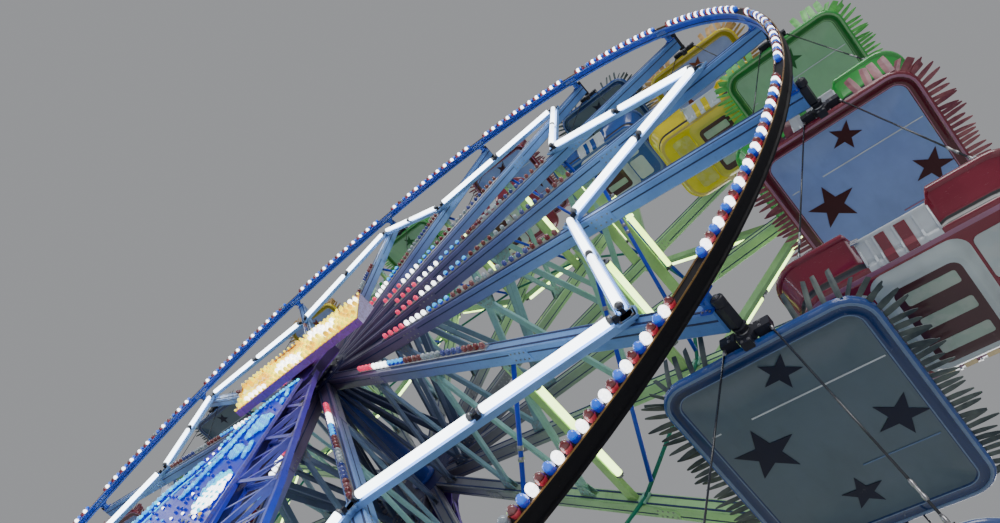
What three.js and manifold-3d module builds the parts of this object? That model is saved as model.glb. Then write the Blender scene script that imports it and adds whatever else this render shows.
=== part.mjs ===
// A fairground observation wheel with sixteen hanging cabins, millimetres, up is +Z.
// X runs along the wheel's width, -Y is the front with the ring of bulbs, the axle lies along Y.
import * as THREE from 'three';
import Module from 'manifold-3d';
import { mergeVertices } from 'three/addons/utils/BufferGeometryUtils.js';

const SECTIONS = 16;
const FIRST_DEG = 170.7;        // angle of the first spoke as the wheel stands
const STEP_DEG = 22.5;
const WHEEL_R = 8500;           // bulb circle
const PIVOT_R = 8600;           // circle of the cabin pivots, just beyond the light ring
const AXLE_Z = 11700;           // height of the axle

const RING_HALF = 65;           // half the radial width of the light ring
const RING_SIDES = 64;
const RING_FRONT = -1660;
const RING_BACK = -1500;
const POST_R = 60;              // corner radius of a square post between ring and spoke
const SPOKE_FRONT = -1370;
const SPOKE_BACK = -1150;
const SPOKE_TIP = 8550;
const SPOKE_HALF_HUB = 112;
const SPOKE_HALF_TIP = 82;
const HUB_FILLET = 30;          // how far the hub's corners stand beyond where two spokes meet
const TONGUE_HALF = 44;         // half the width of a spoke's end at its arm
const GAP = 0.3;                // air between faces that touch

const STAR_OUT = 7607;          // outer points of the star
const STAR_IN = 5525;           // inner points of the star
const STAR_HALF = 72;           // half the width of a star beam
const STAR_DEPTH = 70;

const AXLE_R = 120;
const AXLE_END = 1740;
const BEARING_R = 122.8;        // its flats stand 0.4 clear of the axle's corners
const SLEEVE_R = 165;
const WEB_THICK = 56;
const WEB_BAR = 62;
const WEB_OUT = 5460;           // where the lattice between the spoke planes ends
const WEB_IN = 125;             // where it starts, inside the sleeve
const WEB_STOPS = 7;            // places where a web touches one spoke plane or the other
const WEB_NOTCH = 143;          // depth of the webs' corners behind those places
const BRACE_R = 5600;
const ROD = 36;
const ROD_TURN = 2.2;           // degrees from a spoke to the rear end of its diagonal rod
const ROD_DROP = 60;            // how far inside the ring of rods its front end is
const OVERLAP = 20;             // how deep joined solids reach into each other

const ARM_R = 52;               // round arm that carries a pin past the spoke's tip
const ARM_FRONT = -1440;
const ARM_BACK = -1100;
const PIN_R = 45;
const PIN_END = -1002;
const BORE_R = 49.15;           // its flats stand 0.4 clear of the pin's corners
const HANGER_FRONT = -1090;
const HANGER_BACK = -1012;
const HANGER_HALF = 205;
const HANGER_RISE = 50;
const BOSS_HALF = 84;           // half the width of the boss round a bore
const BOSS_TOP = 86;
const BOSS_LOW = 88;
const TAB_HALF = 44;            // half the width of the tab that carries the roof
const TAB_LOW = 140;
const STAY = 24;
const STAY_TOP = [188, 1050, -20];
const STAY_FOOT = [750, 738];
const SPINE_HALF = 38;

const CANOPY_X = 875;
const CANOPY_Y = 1030;
const CANOPY_TOP = -62;
const CANOPY_PAN = -98;
const CANOPY_LOW = -145;
const CANOPY_CORNER = 250;
const SPINE_TOP = -66;          // the spine stays below the pins
const TUB_X = 1080;
const TUB_Y = 770;
const TUB_CORNER = 280;
const TUB_RAIL = -1960;
const TUB_DOOR = -2200;
const TUB_BELLY = -2460;
const TUB_FLOOR = -2540;
const TUB_SEAT = -2240;
const FOOT_TOP = -2505;         // what the riders' feet stand on
const DOOR_HALF = 290;
const DOOR_RISE = 70;           // run of the rail between a door's height and its own
const WALL = 45;
// Rings of the tub, outside upward and then inside downward: half X, half Y, height, height at a door.
const TUB_RINGS = [
  [310, 460, TUB_FLOOR, TUB_FLOOR],
  [380, 540, TUB_BELLY, TUB_BELLY],
  [900, 560, TUB_BELLY + 20, TUB_BELLY + 20],
  [TUB_X, TUB_Y, TUB_RAIL, TUB_DOOR],
  [TUB_X - WALL, TUB_Y - WALL, TUB_RAIL, TUB_DOOR],
  [920, 606, TUB_SEAT, TUB_SEAT],
  [360, 590, TUB_SEAT, TUB_SEAT],
  [300, 440, FOOT_TOP, FOOT_TOP],
];
// Rings of the roof, outside upward and then inside downward: inset from its edge, and height.
const CANOPY_RINGS = [[10, CANOPY_LOW], [0, CANOPY_TOP], [46, CANOPY_TOP], [60, CANOPY_PAN]];

const TOWER_FRONT = -1670;
const TOWER_BACK = -1490;
const LEAN = 0.07;              // the towers lean outward towards the ground
const LEG_SLOPE = 0.445;
const LEG_HALF_TOP = 240;
const LEG_TAPER = 0.08;
const LEG_TAPER_END = 4250;
const CHORD = 110;
const LACE = 46;
const LACE_STEPS = 12;
const LACE_FIRST = 980;         // first corner of the lacing, below the axle
const LACE_LAST = 140;          // last corner, above the foot
const LACE_SPREAD = 1.12;       // above 1 the steps grow longer downward
const HEAD_HALF = 420;
const HEAD_TOP = 350;
const HEAD_LOW = 343;
const TOWER_BORE = 140;
const BEARING_DEPTH = 110;
const BEARING_OUTLINE = [[-260, -220], [260, -220], [260, 50], [140, 240], [-140, 240], [-260, 50]];

// The sign stands in front of the bearing and its face looks a little downward.
const SIGN_HALF = [1355, 300];
const SIGN_AT = [384, -378];    // its middle, from the axle
const SIGN_TURN = 8.8;          // degrees by which it rises to the right
const SIGN_LOW = 233;           // how far its low edge stands in front of the tower
const SIGN_HIGH = 426;          // how far its high edge does

// Corners of the plate with the cascade of small bulbs, from the axle.
const PANEL_DEPTH = 60;
const PANEL_OUTLINE = [[-360, -720], [-2100, -2300], [-2550, -3500], [-1900, -4700], [1340, -4400],
  [480, -800]];

const SILL_LOW = 40;
const SILL_TOP = 280;
const SILL_Y = 2380;
const SILL_HALF = 130;
const SILL_X = 5800;
const CROSS_X = [-5100, -1600, 1600, 5100];
const CROSS_HALF = 100;
const CROSS_LOW = 60;
const CROSS_TOP = 250;
const PAD_HALF = 250;
const PAD_TOP = 50;
const DECK_X = 1500;
const DECK_TOP = 300;
const DECK_THICK = 60;
const RUNNER_X = [-1200, 0, 1200];
const RUNNER_HALF = 50;
const RUNNER_INSET = 300;

const BLUE = 0x1c4fd0;
const CABIN_PAINT = [0x2a62d8, 0xe8c21c, 0x2fae3c, 0x7c1626];

const wasm = await Module();
wasm.setup();

function degrees(a) {
  return a * Math.PI / 180;
}

function spokeAngle(k) {
  return degrees(FIRST_DEG - STEP_DEG * k);
}

function polar(radius, angle) {
  return [radius * Math.cos(angle), radius * Math.sin(angle)];
}

// Makes a plain indexed geometry out of a flat list of corners and triangles.
function geometryOf(points, triangles) {
  const geometry = new THREE.BufferGeometry();
  geometry.setAttribute('position', new THREE.Float32BufferAttribute(points.flat(), 3));
  geometry.setIndex(triangles.flat());
  return geometry;
}

function welded(geometry) {
  const bare = geometry.clone();
  bare.deleteAttribute('normal');
  bare.deleteAttribute('uv');
  return mergeVertices(bare, 0.001);
}

function toSolid(geometry) {
  const bare = welded(geometry);
  const vertProperties = new Float32Array(bare.attributes.position.array);
  const triVerts = new Uint32Array(bare.index.array);
  return new wasm.Manifold(new wasm.Mesh({ numProp: 3, vertProperties, triVerts }));
}

function fromSolid(solid) {
  const mesh = solid.getMesh();
  const geometry = new THREE.BufferGeometry();
  geometry.setAttribute('position', new THREE.BufferAttribute(new Float32Array(mesh.vertProperties), 3));
  geometry.setIndex(new THREE.BufferAttribute(new Uint32Array(mesh.triVerts), 1));
  return geometry;
}

function joined(geometries) {
  let solid = toSolid(geometries[0]);
  for (const geometry of geometries.slice(1)) {
    solid = solid.add(toSolid(geometry));
  }
  return fromSolid(solid);
}

function box(x0, x1, y0, y1, z0, z1) {
  const geometry = new THREE.BoxGeometry(x1 - x0, y1 - y0, z1 - z0);
  return geometry.translate((x0 + x1) / 2, (y0 + y1) / 2, (z0 + z1) / 2);
}

// Moves every edge of a closed loop sideways, each by its own distance, left being positive.
function offsetLoop(points, distances) {
  const count = points.length;
  const lines = points.map((p, i) => {
    const q = points[(i + 1) % count];
    const length = Math.hypot(q[0] - p[0], q[1] - p[1]);
    const dx = (q[0] - p[0]) / length;
    const dy = (q[1] - p[1]) / length;
    const d = distances[i];
    return { x: p[0] - dy * d, y: p[1] + dx * d, dx, dy };
  });
  return points.map((_, i) => {
    const a = lines[(i + count - 1) % count];
    const b = lines[i];
    const cross = a.dx * b.dy - a.dy * b.dx;
    const t = ((b.x - a.x) * b.dy - (b.y - a.y) * b.dx) / cross;
    return [a.x + a.dx * t, a.y + a.dy * t];
  });
}

function regular(radius, sides, cx, cz, turn) {
  const points = [];
  for (let i = 0; i < sides; i += 1) {
    const angle = turn + 2 * Math.PI * i / sides;
    points.push([cx + radius * Math.cos(angle), cz + radius * Math.sin(angle)]);
  }
  return points;
}

// Cuts a plate that stands in the XZ plane and reaches from yFront to yBack.
function plate(outline, holes, yFront, yBack) {
  const corners = outline.map(([x, z]) => new THREE.Vector2(x, z));
  if (THREE.ShapeUtils.isClockWise(corners)) {
    corners.reverse();
  }
  const shape = new THREE.Shape(corners);
  for (const hole of holes) {
    shape.holes.push(new THREE.Path(hole.map(([x, z]) => new THREE.Vector2(x, z))));
  }
  const options = { depth: yBack - yFront, bevelEnabled: false, steps: 1 };
  const geometry = new THREE.ExtrudeGeometry(shape, options);
  geometry.rotateX(Math.PI / 2);
  return welded(geometry.translate(0, yBack, 0));
}

function mirroredY(geometry) {
  const twin = welded(geometry);
  const position = twin.attributes.position;
  for (let i = 0; i < position.count; i += 1) {
    position.setY(i, -position.getY(i));
  }
  const index = twin.index;
  for (let i = 0; i < index.count; i += 3) {
    const keep = index.getX(i + 1);
    index.setX(i + 1, index.getX(i + 2));
    index.setX(i + 2, keep);
  }
  return twin;
}

// Leans a plate outward, so that its foot stands further forward than its head.
function leaned(geometry) {
  const position = geometry.attributes.position;
  for (let i = 0; i < position.count; i += 1) {
    position.setY(i, position.getY(i) - LEAN * (AXLE_Z - position.getZ(i)));
  }
  return geometry;
}

// Joins rings of equal length into one closed skin with a cap at each end.
function loft(rings) {
  const size = rings[0].length;
  const triangles = [];
  for (let r = 0; r + 1 < rings.length; r += 1) {
    for (let i = 0; i < size; i += 1) {
      const a = r * size + i;
      const b = r * size + (i + 1) % size;
      triangles.push([a, b, b + size], [a, b + size, a + size]);
    }
  }
  const last = (rings.length - 1) * size;
  for (let i = 1; i + 1 < size; i += 1) {
    triangles.push([0, i + 1, i], [last, last + i, last + i + 1]);
  }
  return geometryOf(rings.flat(), triangles);
}

// A square rod whose two ends are cut level, from one height to another.
function levelRod(ax, ay, az, bx, by, bz, width) {
  const h = width / 2;
  const ring = (x, y, z) => [[x - h, y - h, z], [x + h, y - h, z], [x + h, y + h, z], [x - h, y + h, z]];
  return loft([ring(bx, by, bz), ring(ax, ay, az)]);
}

// A square rod whose two ends are cut flat against the spoke planes.
function crossRod(a, ya, b, yb, width) {
  const h = width / 2;
  const ring = (p, y) => [[p[0] - h, y, p[1] - h], [p[0] + h, y, p[1] - h],
    [p[0] + h, y, p[1] + h], [p[0] - h, y, p[1] + h]];
  return loft([ring(b, yb), ring(a, ya)]);
}

function raised(geometry) {
  return geometry.translate(0, 0, AXLE_Z);
}

function ringPart() {
  const outer = regular(WHEEL_R + RING_HALF, RING_SIDES, 0, AXLE_Z, spokeAngle(0));
  const inner = regular(WHEEL_R - RING_HALF, RING_SIDES, 0, AXLE_Z, spokeAngle(0));
  const pieces = [plate(outer, [inner], RING_FRONT, RING_BACK)];
  for (let k = 0; k < SECTIONS; k += 1) {
    const [x, z] = polar(WHEEL_R, spokeAngle(k));
    const post = regular(POST_R, 4, x, AXLE_Z + z, spokeAngle(k) + Math.PI / 4);
    pieces.push(plate(post, [], RING_BACK - OVERLAP, SPOKE_FRONT - GAP));
  }
  return joined(pieces);
}

function starPart() {
  const middle = [];
  for (let k = SECTIONS - 1; k >= 0; k -= 1) {
    const [x, z] = polar(k % 2 ? STAR_OUT : STAR_IN, spokeAngle(k));
    middle.push([x, AXLE_Z + z]);
  }
  const outer = offsetLoop(middle, middle.map(() => -STAR_HALF));
  const inner = offsetLoop(middle, middle.map(() => STAR_HALF));
  return plate(outer, [inner], SPOKE_FRONT - STAR_DEPTH - GAP, SPOKE_FRONT - GAP);
}

function spokeOutline() {
  const points = [];
  const corner = SPOKE_HALF_HUB / Math.sin(degrees(STEP_DEG / 2)) + HUB_FILLET;
  for (let k = SECTIONS - 1; k >= 0; k -= 1) {
    const angle = spokeAngle(k);
    const at = (radius, half) => {
      const out = polar(radius, angle);
      const side = polar(half, angle + Math.PI / 2);
      return [out[0] + side[0], AXLE_Z + out[1] + side[1]];
    };
    points.push(at(SPOKE_TIP, -SPOKE_HALF_TIP), at(PIVOT_R, -TONGUE_HALF));
    points.push(at(PIVOT_R, TONGUE_HALF), at(SPOKE_TIP, SPOKE_HALF_TIP));
    const [x, z] = polar(corner, angle + degrees(STEP_DEG / 2));
    points.push([x, AXLE_Z + z]);
  }
  return points;
}

function armAt(k) {
  const [x, z] = polar(PIVOT_R, spokeAngle(k));
  return plate(regular(ARM_R, 8, x, AXLE_Z + z, Math.PI / 8), [], ARM_FRONT, ARM_BACK);
}

function pinAt(k) {
  const [x, z] = polar(PIVOT_R, spokeAngle(k));
  const outline = regular(PIN_R, 8, x, AXLE_Z + z, Math.PI / 8);
  return plate(outline, [], ARM_BACK - OVERLAP, PIN_END);
}

function frontSpokes() {
  const hole = regular(AXLE_R + GAP, 16, 0, AXLE_Z, Math.PI / 16);
  const pieces = [plate(spokeOutline(), [hole], SPOKE_FRONT, SPOKE_BACK)];
  for (let k = 0; k < SECTIONS; k += 1) {
    pieces.push(armAt(k), pinAt(k));
  }
  return joined(pieces);
}

function axlePart() {
  return plate(regular(AXLE_R, 16, 0, AXLE_Z, Math.PI / 16), [], -AXLE_END, AXLE_END);
}

// One lattice web, drawn with its length along X and its width along Y, later turned to its spoke.
function webOutline() {
  const face = -SPOKE_BACK - GAP;
  const lower = [];
  const upper = [];
  for (let i = 0; i < WEB_STOPS; i += 1) {
    const r = WEB_IN + (WEB_OUT - WEB_IN) * i / (WEB_STOPS - 1);
    const side = i % 2 ? 1 : -1;
    const from = Math.max(WEB_IN, r - WEB_BAR);
    const to = Math.min(WEB_OUT, r + WEB_BAR);
    const flat = [[from, side * face], [to, side * face]];
    const inside = [r, side * (face - WEB_NOTCH)];
    const outerSide = side > 0 ? upper : lower;
    const innerSide = side > 0 ? lower : upper;
    outerSide.push(...flat);
    innerSide.push(inside);
  }
  return [...lower, ...upper.reverse()];
}

function websPart() {
  const holes = [regular(AXLE_R + GAP, 16, 0, AXLE_Z, Math.PI / 16)];
  const sleeve = regular(SLEEVE_R, 16, 0, AXLE_Z, spokeAngle(0) + degrees(STEP_DEG / 2));
  const pieces = [plate(sleeve, holes, SPOKE_BACK + GAP, -SPOKE_BACK - GAP)];
  const points = webOutline().map(([r, y]) => new THREE.Vector2(r, y));
  for (let k = 0; k < SECTIONS; k += 1) {
    const options = { depth: WEB_THICK, bevelEnabled: false, steps: 1 };
    const web = new THREE.ExtrudeGeometry(new THREE.Shape(points), options);
    web.translate(0, 0, -WEB_THICK / 2);
    web.rotateY(-spokeAngle(k));
    pieces.push(raised(web));
  }
  return joined(pieces);
}

function bracesPart() {
  const middle = [];
  for (let k = SECTIONS - 1; k >= 0; k -= 1) {
    const [x, z] = polar(BRACE_R, spokeAngle(k));
    middle.push([x, AXLE_Z + z]);
  }
  const outer = offsetLoop(middle, middle.map(() => -ROD / 2));
  const inner = offsetLoop(middle, middle.map(() => ROD / 2));
  const back = -SPOKE_BACK - GAP;
  const pieces = [plate(outer, [inner], back - ROD, back)];
  const along = BRACE_R * Math.cos(degrees(STEP_DEG / 2)) / Math.cos(degrees(STEP_DEG / 2 - ROD_TURN));
  for (let k = 0; k < SECTIONS; k += 1) {
    const rear = polar(along, spokeAngle(k) + degrees(ROD_TURN));
    const front = polar(BRACE_R - ROD_DROP, spokeAngle(k - 1));
    const a = [rear[0], AXLE_Z + rear[1]];
    const b = [front[0], AXLE_Z + front[1]];
    pieces.push(crossRod(b, SPOKE_BACK + GAP, a, back - ROD / 2, ROD));
  }
  return joined(pieces);
}

// Corners of the cabin's plan, counter-clockwise, with a door's width in the middle of each long side.
function tubPlan() {
  const bend = TUB_CORNER * (1 - Math.SQRT1_2);
  const quarter = [[DOOR_HALF, TUB_Y], [DOOR_HALF + DOOR_RISE, TUB_Y], [TUB_X - TUB_CORNER, TUB_Y],
    [TUB_X - bend, TUB_Y - bend], [TUB_X, TUB_Y - TUB_CORNER]];
  const right = quarter.slice().reverse();
  const first = right.map(([x, y]) => [x, y]);
  const second = quarter.map(([x, y]) => [-x, y]);
  const third = right.map(([x, y]) => [-x, -y]);
  const fourth = quarter.map(([x, y]) => [x, -y]);
  return [...first, ...second, ...third, ...fourth];
}

function tubRing(halfX, halfY, z, doorZ) {
  return tubPlan().map(([x, y]) => {
    const atDoor = Math.abs(x) <= DOOR_HALF && Math.abs(y) > TUB_Y - 1;
    const sx = halfX / TUB_X;
    const px = Math.abs(x) <= DOOR_HALF + DOOR_RISE && sx > 0.8 ? x : x * sx;
    return [px, y * halfY / TUB_Y, atDoor ? doorZ : z];
  });
}

function tubShape() {
  return loft(TUB_RINGS.map(([halfX, halfY, z, doorZ]) => tubRing(halfX, halfY, z, doorZ)));
}

function canopyRing(inset, z) {
  const x = CANOPY_X - inset;
  const y = CANOPY_Y - inset;
  const bend = CANOPY_CORNER * (1 - Math.SQRT1_2);
  const quarter = [[x, y - CANOPY_CORNER], [x - bend, y - bend], [x - CANOPY_CORNER, y]];
  const back = quarter.slice().reverse();
  return [
    ...quarter.map(([a, b]) => [a, b, z]),
    ...back.map(([a, b]) => [-a, b, z]),
    ...quarter.map(([a, b]) => [-a, -b, z]),
    ...back.map(([a, b]) => [a, -b, z]),
  ];
}

function hangerPlate() {
  const half = HANGER_HALF;
  const rise = HANGER_RISE;
  const shoulder = BOSS_TOP - rise;
  const outline = [[-half, -rise], [-BOSS_HALF, -rise], [-TAB_HALF, -BOSS_LOW], [-TAB_HALF, -TAB_LOW],
    [TAB_HALF, -TAB_LOW], [TAB_HALF, -BOSS_LOW], [BOSS_HALF, -rise], [half, -rise], [half, rise],
    [BOSS_HALF, rise], [shoulder, BOSS_TOP], [-shoulder, BOSS_TOP], [-BOSS_HALF, rise], [-half, rise]];
  return plate(outline, [regular(BORE_R, 8, 0, 0, 0)], HANGER_FRONT, HANGER_BACK);
}

function hangerPieces() {
  const pieces = [hangerPlate(), mirroredY(hangerPlate())];
  const end = HANGER_FRONT + 30;
  pieces.push(box(-SPINE_HALF, SPINE_HALF, end, -end, CANOPY_PAN - 12, SPINE_TOP));
  const [topX, topY, topZ] = STAY_TOP;
  const [footX, footY] = STAY_FOOT;
  for (const sx of [-1, 1]) {
    for (const sy of [-1, 1]) {
      pieces.push(levelRod(sx * topX, sy * topY, topZ, sx * footX, sy * footY, TUB_RAIL + GAP, STAY));
    }
  }
  return pieces;
}

function canopyShape() {
  const slab = loft(CANOPY_RINGS.map(([inset, z]) => canopyRing(inset, z)));
  return joined([slab, ...hangerPieces()]);
}

function legCentre(t) {
  return LEG_SLOPE * t;
}

function legHalf(t) {
  return LEG_HALF_TOP + LEG_TAPER * Math.min(t, LEG_TAPER_END);
}

function laceHoles(foot) {
  const holes = [];
  const inner = (t) => [legCentre(t) - legHalf(t) + CHORD, t];
  const outer = (t) => [legCentre(t) + legHalf(t) - CHORD, t];
  const stops = [];
  for (let i = 0; i <= LACE_STEPS; i += 1) {
    stops.push(LACE_FIRST + (foot - LACE_LAST - LACE_FIRST) * (i / LACE_STEPS) ** LACE_SPREAD);
  }
  for (let i = 0; i + 2 <= LACE_STEPS; i += 1) {
    const base = i % 2 ? inner : outer;
    const tip = i % 2 ? outer : inner;
    const corners = [base(stops[i]), tip(stops[i + 1]), base(stops[i + 2])];
    const turned = corners.map(([u, t]) => [u, AXLE_Z - t]);
    const area = (turned[1][0] - turned[0][0]) * (turned[2][1] - turned[0][1])
      - (turned[2][0] - turned[0][0]) * (turned[1][1] - turned[0][1]);
    const sign = area > 0 ? 1 : -1;
    holes.push(offsetLoop(turned, [sign * LACE, sign * LACE, 0]));
  }
  return holes;
}

function towerShape() {
  const foot = AXLE_Z - SILL_TOP - GAP;
  const crotch = LEG_HALF_TOP / (LEG_SLOPE - LEG_TAPER);
  const knee = LEG_TAPER_END;
  const right = [[HEAD_HALF, -HEAD_TOP], [HEAD_HALF, HEAD_LOW], [legCentre(knee) + legHalf(knee), knee],
    [legCentre(foot) + legHalf(foot), foot], [legCentre(foot) - legHalf(foot), foot],
    [legCentre(knee) - legHalf(knee), knee]];
  const left = right.slice().reverse().map(([u, t]) => [-u, t]);
  const outline = [...right, [0, crotch], ...left].map(([u, t]) => [u, AXLE_Z - t]);
  const lace = laceHoles(foot);
  const twin = lace.map((hole) => hole.map(([u, z]) => [-u, z]));
  const bore = regular(TOWER_BORE, 16, 0, AXLE_Z, Math.PI / 16);
  return leaned(plate(outline, [...lace, ...twin, bore], TOWER_FRONT, TOWER_BACK));
}

function fromAxle(outline) {
  return outline.map(([x, z]) => [x, AXLE_Z + z]);
}

function bearingShape() {
  const bore = regular(BEARING_R, 16, 0, AXLE_Z, 0);
  return leaned(plate(fromAxle(BEARING_OUTLINE), [bore], TOWER_FRONT - BEARING_DEPTH, TOWER_FRONT - GAP));
}

// The board of the name sign, left blank.
function signShape() {
  const [u, v] = SIGN_HALF;
  const turn = degrees(SIGN_TURN);
  const corner = ([x, z], depth) => [SIGN_AT[0] + x * Math.cos(turn) - z * Math.sin(turn),
    TOWER_FRONT - depth, AXLE_Z + SIGN_AT[1] + x * Math.sin(turn) + z * Math.cos(turn)];
  const corners = [[-u, -v], [u, -v], [u, v], [-u, v]];
  const back = corners.map((at) => corner(at, BEARING_DEPTH + GAP));
  const front = corners.map((at) => corner(at, at[1] < 0 ? SIGN_LOW : SIGN_HIGH));
  return leaned(loft([back, front]));
}

function lightPanelShape() {
  return leaned(plate(fromAxle(PANEL_OUTLINE), [], TOWER_FRONT - PANEL_DEPTH, TOWER_FRONT - GAP));
}

function baseShape() {
  const pieces = [];
  for (const side of [-1, 1]) {
    const y = side * SILL_Y;
    pieces.push(box(-SILL_X, SILL_X, y - SILL_HALF, y + SILL_HALF, SILL_LOW, SILL_TOP));
    for (const x of CROSS_X) {
      pieces.push(box(x - PAD_HALF, x + PAD_HALF, y - PAD_HALF, y + PAD_HALF, 0, PAD_TOP));
    }
  }
  for (const x of CROSS_X) {
    pieces.push(box(x - CROSS_HALF, x + CROSS_HALF, -SILL_Y, SILL_Y, CROSS_LOW, CROSS_TOP));
  }
  return joined(pieces);
}

function deckShape() {
  const x = DECK_X - GAP;
  const y = SILL_Y - SILL_HALF - GAP;
  const pieces = [box(-x, x, -y, y, DECK_TOP - DECK_THICK, DECK_TOP)];
  const end = y - RUNNER_INSET;
  for (const at of RUNNER_X) {
    pieces.push(box(at - RUNNER_HALF, at + RUNNER_HALF, -end, end, 0, DECK_TOP - DECK_THICK + 10));
  }
  return joined(pieces);
}

const wheel = new THREE.Group();

function addPart(name, geometry, color) {
  const skin = new THREE.MeshStandardMaterial({ color, roughness: 0.5, metalness: 0.2 });
  const mesh = new THREE.Mesh(geometry, skin);
  mesh.name = name;
  wheel.add(mesh);
}

function addCabins() {
  const tub = tubShape();
  const canopy = canopyShape();
  for (let k = 0; k < SECTIONS; k += 1) {
    const [x, z] = polar(PIVOT_R, spokeAngle(k));
    const label = String(k + 1).padStart(2, '0');
    const paint = CABIN_PAINT[(k + 3) % 4];
    addPart(`cabin_${label}_tub`, tub.clone().translate(x, 0, AXLE_Z + z), paint);
    addPart(`cabin_${label}_canopy`, canopy.clone().translate(x, 0, AXLE_Z + z), paint);
  }
}

function addWheel() {
  const spokes = frontSpokes();
  addPart('light_ring', ringPart(), BLUE);
  addPart('star_front', starPart(), 0xb8c0c8);
  addPart('star_rear', mirroredY(starPart()), 0xb8c0c8);
  addPart('spokes_front', spokes, 0xaab4bc);
  addPart('spokes_rear', mirroredY(spokes), 0xaab4bc);
  addPart('axle', axlePart(), 0x2a3038);
  addPart('lattice', websPart(), 0x4a66c8);
  addPart('brace_rods', bracesPart(), 0x2c49b8);
}

function addBase() {
  addPart('tower_front', towerShape(), 0x5a62c0);
  addPart('tower_rear', mirroredY(towerShape()), 0x5a62c0);
  addPart('bearing_front', bearingShape(), 0x6a5a90);
  addPart('bearing_rear', mirroredY(bearingShape()), 0x6a5a90);
  addPart('sign_board', signShape(), 0xd88a20);
  addPart('light_panel', lightPanelShape(), 0x1430a0);
  addPart('base_frame', baseShape(), 0x39424e);
  addPart('loading_deck', deckShape(), 0x9aa2a8);
}

addBase();
addWheel();
addCabins();

export default wheel;
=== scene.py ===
"""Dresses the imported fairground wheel: lamps, paint, upholstery and the studio round it."""

import math
import random

import bmesh
import bpy
from mathutils import Matrix, Vector


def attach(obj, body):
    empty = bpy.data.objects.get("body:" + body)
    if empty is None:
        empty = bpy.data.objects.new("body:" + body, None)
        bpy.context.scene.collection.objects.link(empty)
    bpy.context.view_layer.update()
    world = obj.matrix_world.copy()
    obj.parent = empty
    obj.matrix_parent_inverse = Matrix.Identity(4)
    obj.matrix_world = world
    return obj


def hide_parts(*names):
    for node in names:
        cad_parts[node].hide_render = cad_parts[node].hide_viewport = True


bl_info = {
    "name": "Fairground Wheel Dressing",
    "version": (1, 0, 0),
    "blender": (4, 5, 0),
    "location": "3D View > Sidebar > Wheel",
    "description": "Builds the lamps, paint and cabins of a fairground observation wheel on its frame",
    "category": "Add Mesh",
}

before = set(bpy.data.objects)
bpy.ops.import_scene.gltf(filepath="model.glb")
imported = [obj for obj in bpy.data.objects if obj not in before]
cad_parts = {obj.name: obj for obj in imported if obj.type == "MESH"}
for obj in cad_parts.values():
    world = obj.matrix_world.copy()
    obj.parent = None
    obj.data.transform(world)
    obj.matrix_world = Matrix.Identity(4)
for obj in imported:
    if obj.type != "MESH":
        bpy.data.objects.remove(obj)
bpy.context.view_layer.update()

SECTIONS = 16
STEP = math.tau / SECTIONS
FIRST = math.radians(170.7)
AXLE = Vector((0.0, 0.0, 11.7))
LEAN = 0.07                      # how far the towers lean outward for each metre down
PAINTS = ("blue", "yellow", "green", "maroon")
UP = Vector((0, 0, 1))
AXIS = Vector((0, 1, 0))         # along the axle


# Sizes and colours that a user may change.


def size_setting(name, description, default, least):
    return bpy.props.FloatProperty(
        name=name, description=description, default=default, min=least, unit="LENGTH")


def paint_setting(name, description, default):
    return bpy.props.FloatVectorProperty(
        name=name, description=description, default=default, subtype="COLOR", min=0, max=1)


class WheelSizes(bpy.types.PropertyGroup):
    """Sizes of the wheel's dressing that a user may change."""

    rim_radius: size_setting("Rim radius", "Radius of the circle of rim lamps", 8.5, 5.0)
    pivot_radius: size_setting("Pivot radius", "Radius of the circle that the cabins hang on", 8.6, 5.0)
    rim_lamps: bpy.props.IntProperty(
        name="Rim lamps per section", description="Lamps on the rim between two spokes",
        default=33, min=4)
    rim_lamp_radius: size_setting("Rim lamp radius", "Radius of a rim lamp's cap", 0.0415, 0.01)
    spoke_lamp_pitch: size_setting("Spoke lamp pitch", "Distance between lamps along a spoke", 0.128, 0.04)
    spoke_lamp_start: size_setting(
        "First spoke lamp", "Distance of the first spoke lamp from the axle", 1.78, 0.5)
    star_outer: size_setting("Star outer radius", "Radius of the star's outer points", 7.607, 2.0)
    star_inner: size_setting("Star inner radius", "Radius of the star's inner points", 5.525, 2.0)
    light_tube_length: size_setting(
        "Light tube length", "Length of one straight light tube of the star", 1.5, 0.3)
    light_tube_radius: size_setting("Light tube radius", "Radius of the star's light tubes", 0.045, 0.01)
    leaf_length: size_setting("Leaf length", "Length of the leaves round a cabin roof", 0.25, 0.05)
    leaf_width: size_setting("Leaf width", "Width of the leaves round a cabin roof", 0.090, 0.02)


class WheelColours(bpy.types.PropertyGroup):
    """Paints of the wheel."""

    rim: paint_setting("Rim", "Paint of the lamp ring", (0.008, 0.045, 0.50))
    spoke_front: paint_setting("Front spokes", "Paint of the front spokes", (0.10, 0.25, 0.66))
    spoke_rear: paint_setting("Rear spokes", "Paint of the rear spokes", (0.26, 0.46, 0.22))
    lattice: paint_setting("Lattice", "Paint of the lattice between the spokes", (0.22, 0.44, 0.36))
    rod: paint_setting("Rods", "Paint of the thin brace rods", (0.008, 0.045, 0.52))
    tower_head: paint_setting("Tower head", "Paint at the towers' heads", (0.15, 0.035, 0.36))
    tower_middle: paint_setting("Tower middle", "Paint halfway down the towers", (0.015, 0.05, 0.62))
    tower_foot: paint_setting("Tower foot", "Paint at the towers' feet", (0.03, 0.20, 0.66))
    cabin_blue: paint_setting("Blue cabins", "Colour of the blue cabins", (0.012, 0.07, 0.30))
    cabin_yellow: paint_setting("Yellow cabins", "Colour of the yellow cabins", (0.78, 0.62, 0.01))
    cabin_green: paint_setting("Green cabins", "Colour of the green cabins", (0.03, 0.38, 0.06))
    cabin_maroon: paint_setting("Maroon cabins", "Colour of the maroon cabins", (0.20, 0.012, 0.035))


# Places on the wheel.


def spoke_angle(k):
    """The angle of spoke k, and of cabin k on it."""
    return FIRST - STEP * k


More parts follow.
